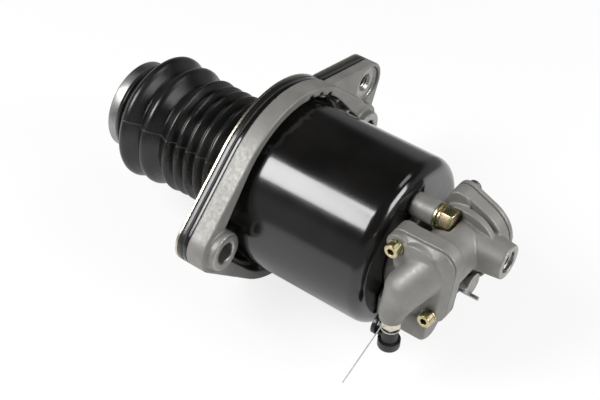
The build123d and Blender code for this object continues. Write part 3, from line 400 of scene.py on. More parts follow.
@dataclass(frozen=True)
class CastAluminium(Finish):
    """Pressure cast aluminium with a fine grain and faint stains."""

    name: str = "cast_aluminium"
    dark: Colour = (0.205, 0.2, 0.188)
    light: Colour = (0.262, 0.257, 0.243)
    grain: float = 1500.0
    stain: float = 46.0

    def lay(self, shader: Shader) -> None:
        """Lay the finish."""
        shader.set(Metallic=0.4, Specular_IOR_Level=0.4)
        broad = shader.noise(self.stain, 5.0)
        fine = shader.noise(self.grain, 4.0)
        pits = shader.noise(self.grain * 0.35, 2.0)
        shader.colour(shader.ramp(broad, ((0.34, self.dark), (0.62, self.light))))
        shader.roughness(shader.spread(pits, 0.44, 0.58))
        shader.bump(((broad, 0.08, 0.3 * MM), (pits, 0.16, 0.12 * MM), (fine, 0.3, 0.05 * MM)))


@dataclass(frozen=True)
class MachinedAluminium(Finish):
    """Faced or bored aluminium with turning marks round an axis."""

    name: str = "machined_aluminium"
    axis: RingAxis = RingAxis.X
    centre: tuple[float, float, float] = (0.0, 0.0, 0.0)
    pitch: float = 0.35 * MM

    def lay(self, shader: Shader) -> None:
        """Lay the finish."""
        shader.set(Metallic=0.9)
        marks = shader.rings(self.axis, 1.0 / (self.pitch * 20), shader.centred(self.centre))
        wear = shader.noise(120.0, 4.0)
        shader.colour(shader.ramp(wear, ((0.3, (0.3, 0.294, 0.28)), (0.7, (0.44, 0.434, 0.416)))))
        shader.roughness(shader.spread(wear, 0.26, 0.4))
        shader.bump(((marks, 0.25, 0.03 * MM), (wear, 0.1, 0.05 * MM)))


@dataclass(frozen=True)
class BlackPaint(Finish):
    """Gloss black paint with a soft orange peel and dust."""

    name: str = "black_paint"
    base: Colour = (0.0045, 0.0042, 0.004)
    roughness: float = 0.13
    peel: float = 260.0

    def lay(self, shader: Shader) -> None:
        """Lay the finish."""
        shader.set(Coat_Weight=0.25, Coat_Roughness=0.05)
        peel = shader.noise(self.peel, 2.0)
        haze = shader.noise(24.0, 5.0)
        dust = shader.noise(2600.0, 2.0)
        shade = tuple(value * 2.4 for value in self.base)
        shader.colour(shader.ramp(haze, ((0.35, self.base), (0.75, shade))))
        shader.roughness(shader.spread(haze, self.roughness, self.roughness + 0.07))
        shader.bump(((peel, 0.1, 0.1 * MM), (dust, 0.06, 0.02 * MM)))


@dataclass(frozen=True)
class MouldedRubber(Finish):
    """Moulded black rubber with a satin skin and a light bloom."""

    name: str = "moulded_rubber"
    base: Colour = (0.006, 0.006, 0.0061)
    bloom: Colour = (0.012, 0.012, 0.0121)
    roughness: float = 0.23

    def lay(self, shader: Shader) -> None:
        """Lay the finish."""
        bloom = shader.noise(55.0, 5.0)
        skin = shader.noise(1800.0, 3.0)
        shader.colour(shader.ramp(bloom, ((0.4, self.base), (0.72, self.bloom))))
        shader.roughness(shader.spread(bloom, self.roughness, self.roughness + 0.12))
        shader.bump(((bloom, 0.08, 0.3 * MM), (skin, 0.22, 0.03 * MM)))


@dataclass(frozen=True)
class YellowZinc(Finish):
    """Yellow zinc plating with its green and pink sheen."""

    name: str = "yellow_zinc"
    patch: float = 210.0
    pale: float = 0.0

    def lay(self, shader: Shader) -> None:
        """Lay the finish."""
        shader.set(Metallic=1.0)
        sheen = shader.noise(self.patch, 3.0)
        tones = ((0.36, 0.37, 0.15), (0.52, 0.45, 0.21), (0.56, 0.40, 0.26))
        washed = [tuple(value + (0.78 - value) * self.pale for value in tone) for tone in tones]
        shader.colour(shader.ramp(sheen, ((0.36, washed[0]), (0.5, washed[1]), (0.66, washed[2]))))
        fine = shader.noise(1900.0, 2.0)
        shader.roughness(shader.spread(fine, 0.24, 0.38))
        shader.bump(((fine, 0.16, 0.03 * MM),))


@dataclass(frozen=True)
class BrightSteel(Finish):
    """Turned or drawn steel with marks round the rod's axis."""

    name: str = "bright_steel"
    base: Colour = (0.52, 0.515, 0.505)
    roughness: float = 0.24
    axis: RingAxis = RingAxis.X

    def lay(self, shader: Shader) -> None:
        """Lay the finish."""
        shader.set(Metallic=1.0)
        marks = shader.rings(self.axis, 140.0)
        stain = shader.noise(90.0, 4.0)
        dull = tuple(value * 0.72 for value in self.base)
        shader.colour(shader.ramp(stain, ((0.32, dull), (0.6, self.base))))
        shader.roughness(shader.spread(stain, self.roughness, self.roughness + 0.14))
        shader.bump(((marks, 0.08, 0.02 * MM), (stain, 0.06, 0.05 * MM)))


@dataclass(frozen=True)
class GasketSheet(Finish):
    """Dark pressed gasket sheet with short fibres."""

    name: str = "gasket_sheet"
    base: Colour = (0.014, 0.0135, 0.013)
    fibre: Colour = (0.035, 0.033, 0.03)

    def lay(self, shader: Shader) -> None:
        """Lay the finish."""
        fibres = shader.noise(900.0, 6.0)
        shader.colour(shader.ramp(fibres, ((0.4, self.base), (0.7, self.fibre))))
        shader.roughness(shader.spread(fibres, 0.5, 0.68))
        shader.bump(((fibres, 0.3, 0.06 * MM),))


@dataclass(frozen=True)
class Nylon(Finish):
    """Milky nylon, as on a thin tie or a bush."""

    name: str = "nylon"
    base: Colour = (0.33, 0.33, 0.32)

    def lay(self, shader: Shader) -> None:
        """Lay the finish."""
        shader.set(Specular_IOR_Level=0.6)
        cloud = shader.noise(400.0, 2.0)
        pale = tuple(min(1.0, value * 1.3) for value in self.base)
        shader.colour(shader.ramp(cloud, ((0.35, self.base), (0.65, pale))))
        shader.roughness(shader.spread(cloud, 0.22, 0.34))
        shader.bump(((cloud, 0.05, 0.03 * MM),))


@dataclass(frozen=True)
class SocketShade(Finish):
    """Zinc darkened at the bottom of a hexagon socket, as painted shade in the hollow."""

    name: str = "socket_shade"

    def lay(self, shader: Shader) -> None:
        """Lay the finish."""
        shader.set(Metallic=0.5, Specular_IOR_Level=0.3)
        # painted shade: blotchy dark zinc where the socket's hollow lies in shade
        shade_blotch = shader.noise(600.0, 3.0)
        shader.colour(shader.ramp(shade_blotch, ((0.35, (0.02, 0.017, 0.006)), (0.65, (0.075, 0.06, 0.02)))))
        shader.roughness(shader.spread(shade_blotch, 0.4, 0.6))
        shader.bump(((shade_blotch, 0.2, 0.05 * MM),))


@dataclass(frozen=True)
class Brass(Finish):
    """Turned brass of the valve."""

    name: str = "valve_brass"

    def lay(self, shader: Shader) -> None:
        """Lay the finish."""
        shader.set(Metallic=1.0)
        stain = shader.noise(160.0, 4.0)
        marks = shader.rings(RingAxis.Y, 160.0)
        shader.colour(shader.ramp(stain, ((0.3, (0.5, 0.36, 0.14)), (0.65, (0.75, 0.58, 0.27)))))
        shader.roughness(shader.spread(stain, 0.24, 0.36))
        shader.bump(((marks, 0.08, 0.02 * MM),))


class Finishes:
    """The finishes of the servo, each built once."""

    def __init__(self) -> None:
        """Build every finish."""
        self.casting = CastAluminium().material()
        self.machined = MachinedAluminium().material()
        self.paint = BlackPaint().material()
        self.plate_paint = BlackPaint("plate_paint", (0.008, 0.0078, 0.0075), 0.24, 420.0).material()
        self.rubber = MouldedRubber().material()
        self.flash_rubber = MouldedRubber(
            "flash_rubber", (0.035, 0.035, 0.0355), (0.06, 0.06, 0.0605), 0.4
        ).material()
        self.cap_rubber = MouldedRubber(
            "cap_rubber", (0.008, 0.008, 0.009), (0.016, 0.016, 0.017), 0.3
        ).material()
        self.zinc = YellowZinc("yellow_zinc", 210.0, 0.12).material()
        self.pale_zinc = YellowZinc("pale_zinc", 320.0, 0.45).material()
        self.steel = BrightSteel().material()
        self.spring_steel = BrightSteel("spring_steel", (0.3, 0.3, 0.3), 0.34).material()
        self.pressed_steel = BrightSteel("pressed_steel", (0.36, 0.355, 0.345), 0.36).material()
        self.dull_steel = BrightSteel("dull_steel", (0.21, 0.206, 0.195), 0.42).material()
        # painted shade for the hollows of hexagon sockets
        self.socket = SocketShade().material()
        self.gasket = GasketSheet().material()
        self.body_gasket = GasketSheet(
            "body_gasket_sheet", (0.1, 0.097, 0.09), (0.15, 0.146, 0.137)
        ).material()
        self.nylon = Nylon().material()
        self.brass = Brass().material()


# Fitting of pieces


def finish_with(obj: Piece, *materials: Material) -> None:
    """Replace an object's materials."""
    obj.data.materials.clear()
    for material in materials:
        obj.data.materials.append(material)


def fit(obj: Piece, body: Body, slot: str, *nodes: str) -> None:
    """Ride a piece on its body and let it stand for CAD nodes.

    Args:
        obj: The finished piece.
        body: The body that it rides on.
        slot: The record's material slot; not used.
        *nodes: The CAD nodes that it replaces.
    """
    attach(obj, body.value)
    if nodes:
        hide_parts(*nodes)
    LOG.info("%s: %d faces, on %s", obj.name, len(obj.data.polygons), body.value)


@dataclass
class Dresser:
    """Ways to turn a CAD node into a finished piece."""

    finishes: Finishes
    break_edge: float = 0.25 * MM
    sharp_angle: float = 34.0
    thread_pitch: float = 1.5 * MM
    thread_depth: float = 0.7 * MM
    thread_flank: float = 0.42
    thread_root: float = 0.12 * MM
    thread_wall: float = 0.2 * MM

    def crisp(
        self,
        node: str,
        body: Body,
        slot: str,
        material: Material,
        width: float | None = None,
        in_socket: FaceTest | None = None,
    ) -> Piece:
        """Copy a node and break its sharp edges.

        Args:
            node: Name of the CAD node.
            body: The body that the piece rides on.
            slot: The record's material slot.
            material: The finish.
            width: Width of the broken edges, or none for the usual.
            in_socket: Test of a face's centre and normal for the painted shade of a socket, or none.

        Returns:
            The finished piece.
        """
        obj = bench_copy(node, f"{node}_dressed")
        apply_modifier(
            obj,
            "BEVEL",
            width=self.break_edge if width is None else width,
            segments=2,
            limit_method="ANGLE",
            angle_limit=math.radians(self.sharp_angle),
            use_clamp_overlap=True,
        )
        edit(obj)
        bpy.ops.mesh.dissolve_degenerate(threshold=FINE_MERGE)
        done()
        smooth(obj)
        # the second material paints shade into the hollows of sockets
        finish_with(obj, material, self.finishes.socket)
        if in_socket is not None:
            self.mark(obj, in_socket)
        fit(obj, body, slot, node)
        return obj

    @staticmethod
    def plain(materials: dict[str, Material]) -> None:
        """Give CAD nodes that stay as they are their finish."""
        for node, material in materials.items():
            finish_with(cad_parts[node], material)

    @staticmethod
    def mark(obj: Piece, wanted: FaceTest) -> None:
        """Give the wanted faces the second material."""
        for face in obj.data.polygons:
            face.material_index = int(wanted(face.center, face.normal))

    def thread(
        self, name: str, start: Point, radius: float, length: float, upright: bool = False
    ) -> None:
        """Wind the thread of a bore as a thin ridge on its wall.

        Args:
            name: Name of the piece.
            start: Centre of the bore at the thread's first turn.
            radius: Radius of the bore.
            length: Length of the thread.
            upright: Whether the bore runs along Z instead of X.
        """
        half = self.thread_pitch * self.thread_flank
        crest = radius - self.thread_depth
        root = radius + self.thread_root
        ridge = profile_line(name, ((-half, root), (0.0, crest), (half, root)))
        apply_modifier(
            ridge,
            "SCREW",
            axis="X",
            angle=2 * math.pi,
            screw_offset=self.thread_pitch,
            iterations=max(1, round(length / self.thread_pitch) - 1),
            steps=48,
            render_steps=48,
        )
        apply_modifier(ridge, "SOLIDIFY", thickness=self.thread_wall, offset=1.0)
        edit(ridge)
        bpy.ops.transform.translate(value=(half, 0, 0))
        bpy.ops.mesh.normals_make_consistent(inside=False)
        done()
        ridge.location = start
        ridge.rotation_euler[1] = -math.pi / 2 if upright else 0.0
        only(ridge)
        bpy.ops.object.transform_apply(location=True, rotation=True)
        smooth(ridge)
        finish_with(ridge, self.finishes.machined)
        fit(ridge, Body.HOUSING, "cast_aluminium")

    def cast(
        self,
        node: str,
        body: Body,
        voxel: float,
        softening: int,
        machined: FaceTest,
    ) -> Piece:
        """Copy a node and soften it to a casting, with machined places left bright.

        Args:
            node: Name of the CAD node.
            body: The body that the piece rides on.
            voxel: Size of the remesh.
            softening: Number of smoothing passes.
            machined: Test of a face's centre and normal for the machined finish.

        Returns:
            The finished piece.
        """
        obj = bench_copy(node, f"{node}_casting")
        apply_modifier(obj, "REMESH", mode="VOXEL", voxel_size=voxel, use_smooth_shade=True)
        apply_modifier(obj, "SMOOTH", factor=0.5, iterations=softening)
        finish_with(obj, self.finishes.casting, self.finishes.machined)
        self.mark(obj, machined)
        smooth(obj, 60.0)
        fit(obj, body, "cast_aluminium", node)
        return obj


# Sub-assemblies


@dataclass
class FlangeStack:
    """The plates, the gasket and the cast frame that the servo is bolted up by."""

    dresser: Dresser
    boss_pitch: float = 74 * MM
    boss_top: float = 26 * MM
    hole_radius: float = 6.6 * MM
    ear: tuple[float, float] = (85.5 * MM, 26.0 * MM)
    ear_spot: float = 13.6 * MM
    ear_thread: tuple[float, float, float] = (8.7 * MM, 5.1 * MM, 4.5 * MM)
    spot_radius: float = 12.2 * MM
    face_margin: float = 0.3 * MM
    hole_margin: float = 0.25 * MM
    spot_margin: float = 0.4 * MM
    frame_voxel: float = 0.62 * MM
    screw_ring: float = 61.4 * MM
    screw_angles: tuple[float, ...] = tuple(math.radians(angle) for angle in (60, 120, 240, 300))
    socket_radius: float = 1.8 * MM
    socket_depth: float = 1.7 * MM

    def is_machined(self, centre: Vector, normal: Vector) -> bool:
        """Tell whether a face of the frame is faced or drilled."""
        beside = min(abs(centre.y - self.boss_pitch), abs(centre.y + self.boss_pitch))
        on_boss = centre.x > self.boss_top - self.face_margin and normal.x > 0.7
        in_hole = math.hypot(beside, centre.z) < self.hole_radius + self.hole_margin
        from_ear = math.hypot(centre.y - self.ear[0], centre.z - self.ear[1])
        on_spot = from_ear < self.spot_radius and centre.x < self.ear_spot + self.spot_margin
        return on_boss or in_hole or on_spot

    def in_plate_socket(self, centre: Vector, normal: Vector) -> bool:
        """Tell whether a face lies in the socket of a countersunk screw, where shade is painted."""
        return 0.1 * MM < centre.x < self.socket_depth and normal.x < 0.4 and self.near_screw(centre)

    def near_screw(self, centre: Vector) -> bool:
        """Tell whether a place is within a socket's radius of a plate screw."""
        rays = [Vector((math.cos(angle), math.sin(angle))) for angle in self.screw_angles]
        spots = [ray * self.screw_ring for ray in rays]
        return min((Vector((centre.y, centre.z)) - spot).length for spot in spots) < self.socket_radius

    def build(self) -> None:
        """Dress the stack from the boot's side to the frame."""
        finishes = self.dresser.finishes
        crisp = self.dresser.crisp
        crisp("boot_plate", Body.HOUSING, "zinc_yellow", finishes.pale_zinc, 0.2 * MM)
        crisp("front_plate", Body.HOUSING, "black_paint", finishes.plate_paint, 0.3 * MM)
        crisp("flange_gasket", Body.HOUSING, "gasket_sheet", finishes.gasket, 0.15 * MM)
        # the sockets of the plate screws get painted shade
        crisp("plate_screws", Body.HOUSING, "zinc_yellow", finishes.zinc, 0.1 * MM, self.in_plate_socket)
        self.dresser.cast("flange_casting", Body.HOUSING, self.frame_voxel, 6, self.is_machined)
        start, radius, length = self.ear_thread
        self.dresser.thread("ear_thread", (start, *self.ear), radius, length)


@dataclass
class AirCylinder:
    """The drawn can and what works inside it."""

    dresser: Dresser

    def build(self) -> None:
        """Dress the can, the piston set and the spring."""
        finishes = self.dresser.finishes
        crisp = self.dresser.crisp
        crisp("air_cylinder", Body.HOUSING, "black_paint", finishes.paint, 0.3 * MM)
        plain = {
            "backing_ring": finishes.zinc,
            "rod_guide": finishes.nylon,
            "guide_ring": finishes.nylon,
            "air_piston": finishes.machined,
            "piston_seal": finishes.rubber,
            "plunger_seal": finishes.rubber,
            "piston_circlip": finishes.spring_steel,
            "hydraulic_sleeve": finishes.steel,
        }
        self.dresser.plain(plain)
        spring = bench_copy("return_spring", "return_spring_coil")
        smooth(spring, 70.0)
        finish_with(spring, finishes.spring_steel)
        fit(spring, Body.HOUSING, "bright_steel", "return_spring")
        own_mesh(spring)


@dataclass
class BootAndRod:
    """The rubber bellows, the rod and the pressed cup at its end."""

    dresser: Dresser
    wall: float = 1.9 * MM
    lip_x: float = -104.0 * MM
    lip_radius: float = 28.9 * MM
    neck_radius: float = 32.6 * MM
    bead_radius: float = 36.0 * MM
    bead_x: tuple[float, float] = (1.6 * MM, 3.5 * MM)
    neck_length: float = 3.0 * MM
    big_folds: tuple[tuple[float, float, float], ...] = (
        (-87.0 * MM, 44.8 * MM, 35.5 * MM),
        (-71.0 * MM, 42.9 * MM, 33.8 * MM),
    )
    big_round: float = 5.0 * MM
    valley_step: float = 8.4 * MM
    small_folds: int = 7
    small_pitch: float = 8.0 * MM
    small_crest: float = 39.9 * MM
    small_valley: float = 33.4 * MM
    small_round: float = 2.0 * MM
    valley_round: float = 0.7 * MM
    seam_angle: float = math.radians(152.0)
    seam_width: float = 0.8 * MM
    seam_height: float = 0.34 * MM
    pip_radius: float = 0.9 * MM
    cup_trim: float = 2.2 * MM
    bead: tuple[tuple[float, float], ...] = (
        (-102.2 * MM, 28.0 * MM),
        (-102.2 * MM, 31.2 * MM),
        (-99.2 * MM, 32.2 * MM),
        (-98.2 * MM, 30.8 * MM),
        (-99.0 * MM, 28.0 * MM),
    )

    def folds(self) -> list[tuple[float, float, float]]:
        """Return the (x, radius, rounding) of each crest and valley in turn."""
        places = []
        for x, peak, valley in self.big_folds:
            places.append((x, peak, self.big_round))
            places.append((x + self.valley_step, valley, self.valley_round))
        first = -self.small_pitch * self.small_folds
        for fold in range(self.small_folds):
            x = first + self.small_pitch * (fold + 0.25)
            places.append((x, self.small_crest, self.small_round))
            places.append((x + self.small_pitch / 2, self.small_valley, self.valley_round))
        places[-1] = (-self.neck_length, self.neck_radius, self.valley_round)
        return places

    def wall_line(self, inward: float) -> list[Point]:
        """Return the rounded line of the wall, moved inward by a distance."""
        lip = [(self.lip_x, self.lip_radius, 0.0), (self.lip_x + 4.5 * MM, self.lip_radius, MM)]
        line = [*lip, *self.folds(), (0.0, self.neck_radius, 0.0)]
        return rounded([(x, radius - inward) for x, radius, _ in line], [item[2] for item in line])

    def boot(self) -> None:
        """Turn the bellows, with its bead, and put the mould line on it."""
        x0, x1 = self.bead_x
        inner = list(reversed(self.wall_line(self.wall)))
        outline = [
            *self.wall_line(0.0),
            (x0, self.neck_radius),
            (x0, self.bead_radius),
            (x1, self.bead_radius),
            (x1, self.neck_radius - self.wall),
            *inner,
        ]
        boot = turned("boot_bellows", outline, 120)
        finish_with(boot, self.dresser.finishes.rubber)
        fit(boot, Body.HOUSING, "black_rubber", "boot")
        self.mould_line(boot)
        self.close_up(boot)

    def close_up(self, obj: Piece) -> None:
        """Give a piece its own copy of its mesh data.

        Args:
            obj: The piece that gets its own mesh.
        """
        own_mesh(obj)

    def lip_bead(self) -> None:
        """Turn the thick rim of the bellows, which shows behind the cup."""
        line = rounded([*self.bead, self.bead[0]], [0.0, 0.9 * MM, 1.0 * MM, 0.6 * MM, 0.0, 0.0])
        bead = turned("boot_lip_bead", line[:-1])
        finish_with(bead, self.dresser.finishes.rubber)
        fit(bead, Body.HOUSING, "black_rubber")
        self.close_up(bead)

    def cup(self) -> None:
        """Dress the pressed cup, with its wall cut back to the bellows' rim."""
        cup = self.dresser.crisp(
            "rod_end_cup", Body.ROD, "bright_steel", self.dresser.finishes.pressed_steel, 0.25 * MM
        )
        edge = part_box("rod_end_cup")[1].x
        for vertex in cup.data.vertices:
            vertex.select = vertex.co.x > edge - MM
        bpy.ops.object.select_all(action="DESELECT")
        bpy.context.view_layer.objects.active = cup
        bpy.ops.object.mode_set(mode="EDIT")
        bpy.ops.transform.translate(value=(-self.cup_trim, 0, 0))
        done()

    def mould_line(self, boot: Piece) -> None:
        """Put the mould's parting line on the bellows, with a vent pip on each crest."""
        parts = []
        for angle in (self.seam_angle, self.seam_angle + math.pi):
            parts.append(self.seam(angle))
            for x, _, _ in self.folds()[::2]:
                near = [vertex.co for vertex in boot.data.vertices if abs(vertex.co.x - x) < MM]
                radius = max(math.hypot(spot.y, spot.z) for spot in near)
                bpy.ops.object.select_all(action="DESELECT")
                bpy.ops.mesh.primitive_ico_sphere_add(
                    subdivisions=2,
                    radius=self.pip_radius,
                    location=(x, radius * math.cos(angle), radius * math.sin(angle)),
                )
                bpy.ops.object.transform_apply(location=True, rotation=True, scale=True)
                parts.append(bpy.context.object)
        joined = join("boot_mould_line", parts)
        smooth(joined, 50.0)
        finish_with(joined, self.dresser.finishes.flash_rubber)
        fit(joined, Body.HOUSING, "black_rubber")
        self.close_up(joined)

    def seam(self, angle: float) -> Piece:
        """Draw the thin ridge along the wall at an angle round the axis.

        Args:
            angle: Angle of the ridge from the Y axis.

        Returns:
            The closed ridge.
        """
        top = self.wall_line(-self.seam_height)[1:-1]
        root = self.wall_line(2 * self.seam_height)[1:-1]
        ridge = profile_line("seam", [*top, *reversed(root), top[0]])
        edit(ridge)
        bpy.ops.mesh.remove_doubles(threshold=FINE_MERGE)
        bpy.ops.mesh.edge_face_add()
        bpy.ops.transform.translate(value=(0, -self.seam_width / 2, 0))
        bpy.ops.mesh.extrude_region_move(TRANSFORM_OT_translate={"value": (0, self.seam_width, 0)})
        bpy.ops.mesh.select_all(action="SELECT")
        bpy.ops.mesh.quads_convert_to_tris()
        bpy.ops.mesh.normals_make_consistent(inside=False)
        done()
        ridge.rotation_euler[0] = angle - math.pi / 2
        only(ridge)
        bpy.ops.object.transform_apply(rotation=True)
        return ridge

    def build(self) -> None:
        """Dress the bellows, the rod and the cup."""
        finishes = self.dresser.finishes
        self.boot()
        self.lip_bead()
        self.cup()
        self.dresser.crisp("push_rod", Body.ROD, "bright_steel", finishes.steel, 0.2 * MM)


@dataclass
class ValveBody:
    """The cast valve and hydraulic body with its covers."""

    dresser: Dresser
    body_voxel: float = 0.55 * MM
    cover_voxel: float = 0.5 * MM
    tube_end: float = 169.5 * MM
    tube_centre: tuple[float, float] = (4.5 * MM, 20.6 * MM)
    port_radius: float = 6.8 * MM
    boss_top: float = 124.5 * MM
    hydraulic_port: tuple[float, float, float] = (118.5 * MM, 5.0 * MM, -31.0 * MM)
    hydraulic_radius: float = 5.6 * MM

    def body_machined(self, centre: Vector, normal: Vector) -> bool:
        """Tell whether a face of the body is faced or bored."""
        from_tube = math.hypot(centre.y - self.tube_centre[0], centre.z - self.tube_centre[1])
        on_tube = centre.x > self.tube_end - 0.35 * MM and normal.x > 0.7
        in_port = centre.x > self.tube_end - 14 * MM and from_tube < self.port_radius + 0.4 * MM
        on_boss = abs(centre.x - self.boss_top) < 0.3 * MM and normal.x > 0.8
        return on_tube or in_port or on_boss

    @staticmethod
    def nowhere(centre: Vector, normal: Vector) -> bool:
        """Leave every face as cast."""
        return False

    def build(self) -> None:
        """Dress the body, its covers and what they hold."""
        finishes = self.dresser.finishes
        crisp = self.dresser.crisp
        self.dresser.cast("valve_body", Body.HOUSING, self.body_voxel, 7, self.body_machined)
        self.dresser.cast("valve_cover", Body.HOUSING, self.cover_voxel, 14, self.nowhere)
        self.dresser.cast("rear_cap", Body.HOUSING, self.cover_voxel, 4, self.nowhere)
        tube_port = (self.tube_end - 12.2 * MM, *self.tube_centre)
        self.dresser.thread("air_port_thread", tube_port, self.port_radius, 11.0 * MM)
        port, radius = self.hydraulic_port, self.hydraulic_radius
        self.dresser.thread("hydraulic_port_thread", port, radius, 9.0 * MM, upright=True)
        crisp("end_plug", Body.HOUSING, "piston_alloy", finishes.machined, 0.3 * MM)
        crisp("plug_pin", Body.HOUSING, "bright_steel", finishes.steel, 0.2 * MM)
        crisp("exhaust_flap", Body.HOUSING, "black_rubber", finishes.cap_rubber, 0.2 * MM)
        plain = {
            "cover_gasket": finishes.body_gasket,
            "rear_gasket": finishes.body_gasket,
            "body_gasket": finishes.gasket,
            "relay_piston": finishes.machined,
            "relay_seal": finishes.rubber,
            "valve_seat": finishes.brass,
            "inlet_poppet": finishes.brass,
        }
        self.dresser.plain(plain)
        self.valve_spring("relay_spring")
        self.valve_spring("poppet_spring")

    def valve_spring(self, node: str) -> None:
        """Copy one of the valve's springs as a smooth coil and ride it on the housing."""
        spring = bench_copy(node, f"{node}_coil")
        smooth(spring, 70.0)
        finish_with(spring, self.dresser.finishes.spring_steel)
        fit(spring, Body.HOUSING, "bright_steel", node)
        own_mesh(spring)


@dataclass
class Fasteners:
    """The screws, bolts and washers seen from outside."""

    dresser: Dresser
    cross: tuple[float, float] = (138.6 * MM, 20.6 * MM)
    cover_offsets: tuple[tuple[float, float], ...] = ((-18.0 * MM, 17.6 * MM), (8.0 * MM, -21.5 * MM))
    socket_radius: float = 2.5 * MM
    socket_depth: float = 3.0 * MM
    head_radius: float = 4.25 * MM
    knurl_start: float = 0.6 * MM
    knurl_length: float = 4.2 * MM
    knurl_wall: float = 0.5 * MM
    head_face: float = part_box("cover_screws")[0].y
    knurl_height: float = 0.14 * MM
    knurls: int = 32

    def in_cover_socket(self, centre: Vector, normal: Vector) -> bool:
        """Tell whether a face lies in the socket of a cover screw, where shade is painted."""
        depth = centre.y - self.head_face
        spots = [(self.cross[0] + x, self.cross[1] + z) for x, z in self.cover_offsets]
        out = min(math.hypot(centre.x - x, centre.z - z) for x, z in spots)
        return 0.3 * MM < depth < self.socket_depth and out < self.socket_radius

    def knurl(self) -> None:
        """Wrap the heads of the cover screws in fine ridges."""
        bands = []
        middle = self.head_face + self.knurl_start + self.knurl_length / 2
        for x, z in self.cover_offsets:
            bpy.ops.object.select_all(action="DESELECT")
            bpy.ops.mesh.primitive_cylinder_add(
                vertices=2 * self.knurls,
                radius=self.head_radius,
                depth=self.knurl_length,
                end_fill_type="NOTHING",
                rotation=(math.pi / 2, 0, 0),
                location=(0, 0, 0),
            )
            band = bpy.context.object
            bpy.ops.object.transform_apply(rotation=True)
            step = math.pi / self.knurls
            for vertex in band.data.vertices:
                turn = math.atan2(vertex.co.z, vertex.co.x) / step
                vertex.select = round(turn) % 2 == 0
            bpy.ops.object.mode_set(mode="EDIT")
            grow = 1 + self.knurl_height / self.head_radius
            bpy.ops.transform.resize(value=(grow, 1, grow), center_override=(0, 0, 0))
            done()
            apply_modifier(band, "SOLIDIFY", thickness=self.knurl_wall, offset=-1.0)
            band.location = (self.cross[0] + x, middle, self.cross[1] + z)
            only(band)
            bpy.ops.object.transform_apply(location=True)
            bands.append(band)
        joined = join("cover_screw_knurls", bands)
        finish_with(joined, self.dresser.finishes.zinc)
        fit(joined, Body.HOUSING, "zinc_yellow")

    def build(self) -> None:
        """Dress every fastener."""
        finishes = self.dresser.finishes
        crisp = self.dresser.crisp
        # the sockets of the cover screws get painted shade
        crisp("cover_screws", Body.HOUSING, "zinc_yellow", finishes.zinc, 0.18 * MM, self.in_cover_socket)
        self.knurl()
        crisp("cap_screws", Body.HOUSING, "zinc_yellow", finishes.dull_steel, 0.18 * MM)
        for node in ("cover_washers", "body_bolts", "body_washers", "spring_washers"):
            crisp(node, Body.HOUSING, "zinc_yellow", finishes.zinc, 0.18 * MM)


@dataclass
class BleedPoint:
    """The bleed screw with its rubber cap and the nylon tie."""

    dresser: Dresser

    def build(self) -> None:
        """Dress the screw, the cap and the tie."""
        finishes = self.dresser.finishes
        self.dresser.crisp("bleed_screw", Body.BLEED, "zinc_yellow", finishes.pale_zinc, 0.15 * MM)
        self.dresser.crisp("dust_cap", Body.HOUSING, "black_rubber", finishes.cap_rubber, 0.3 * MM)
        self.dresser.crisp("cap_tie", Body.HOUSING, "bearing_plastic", finishes.nylon, 0.02 * MM)


# Studio


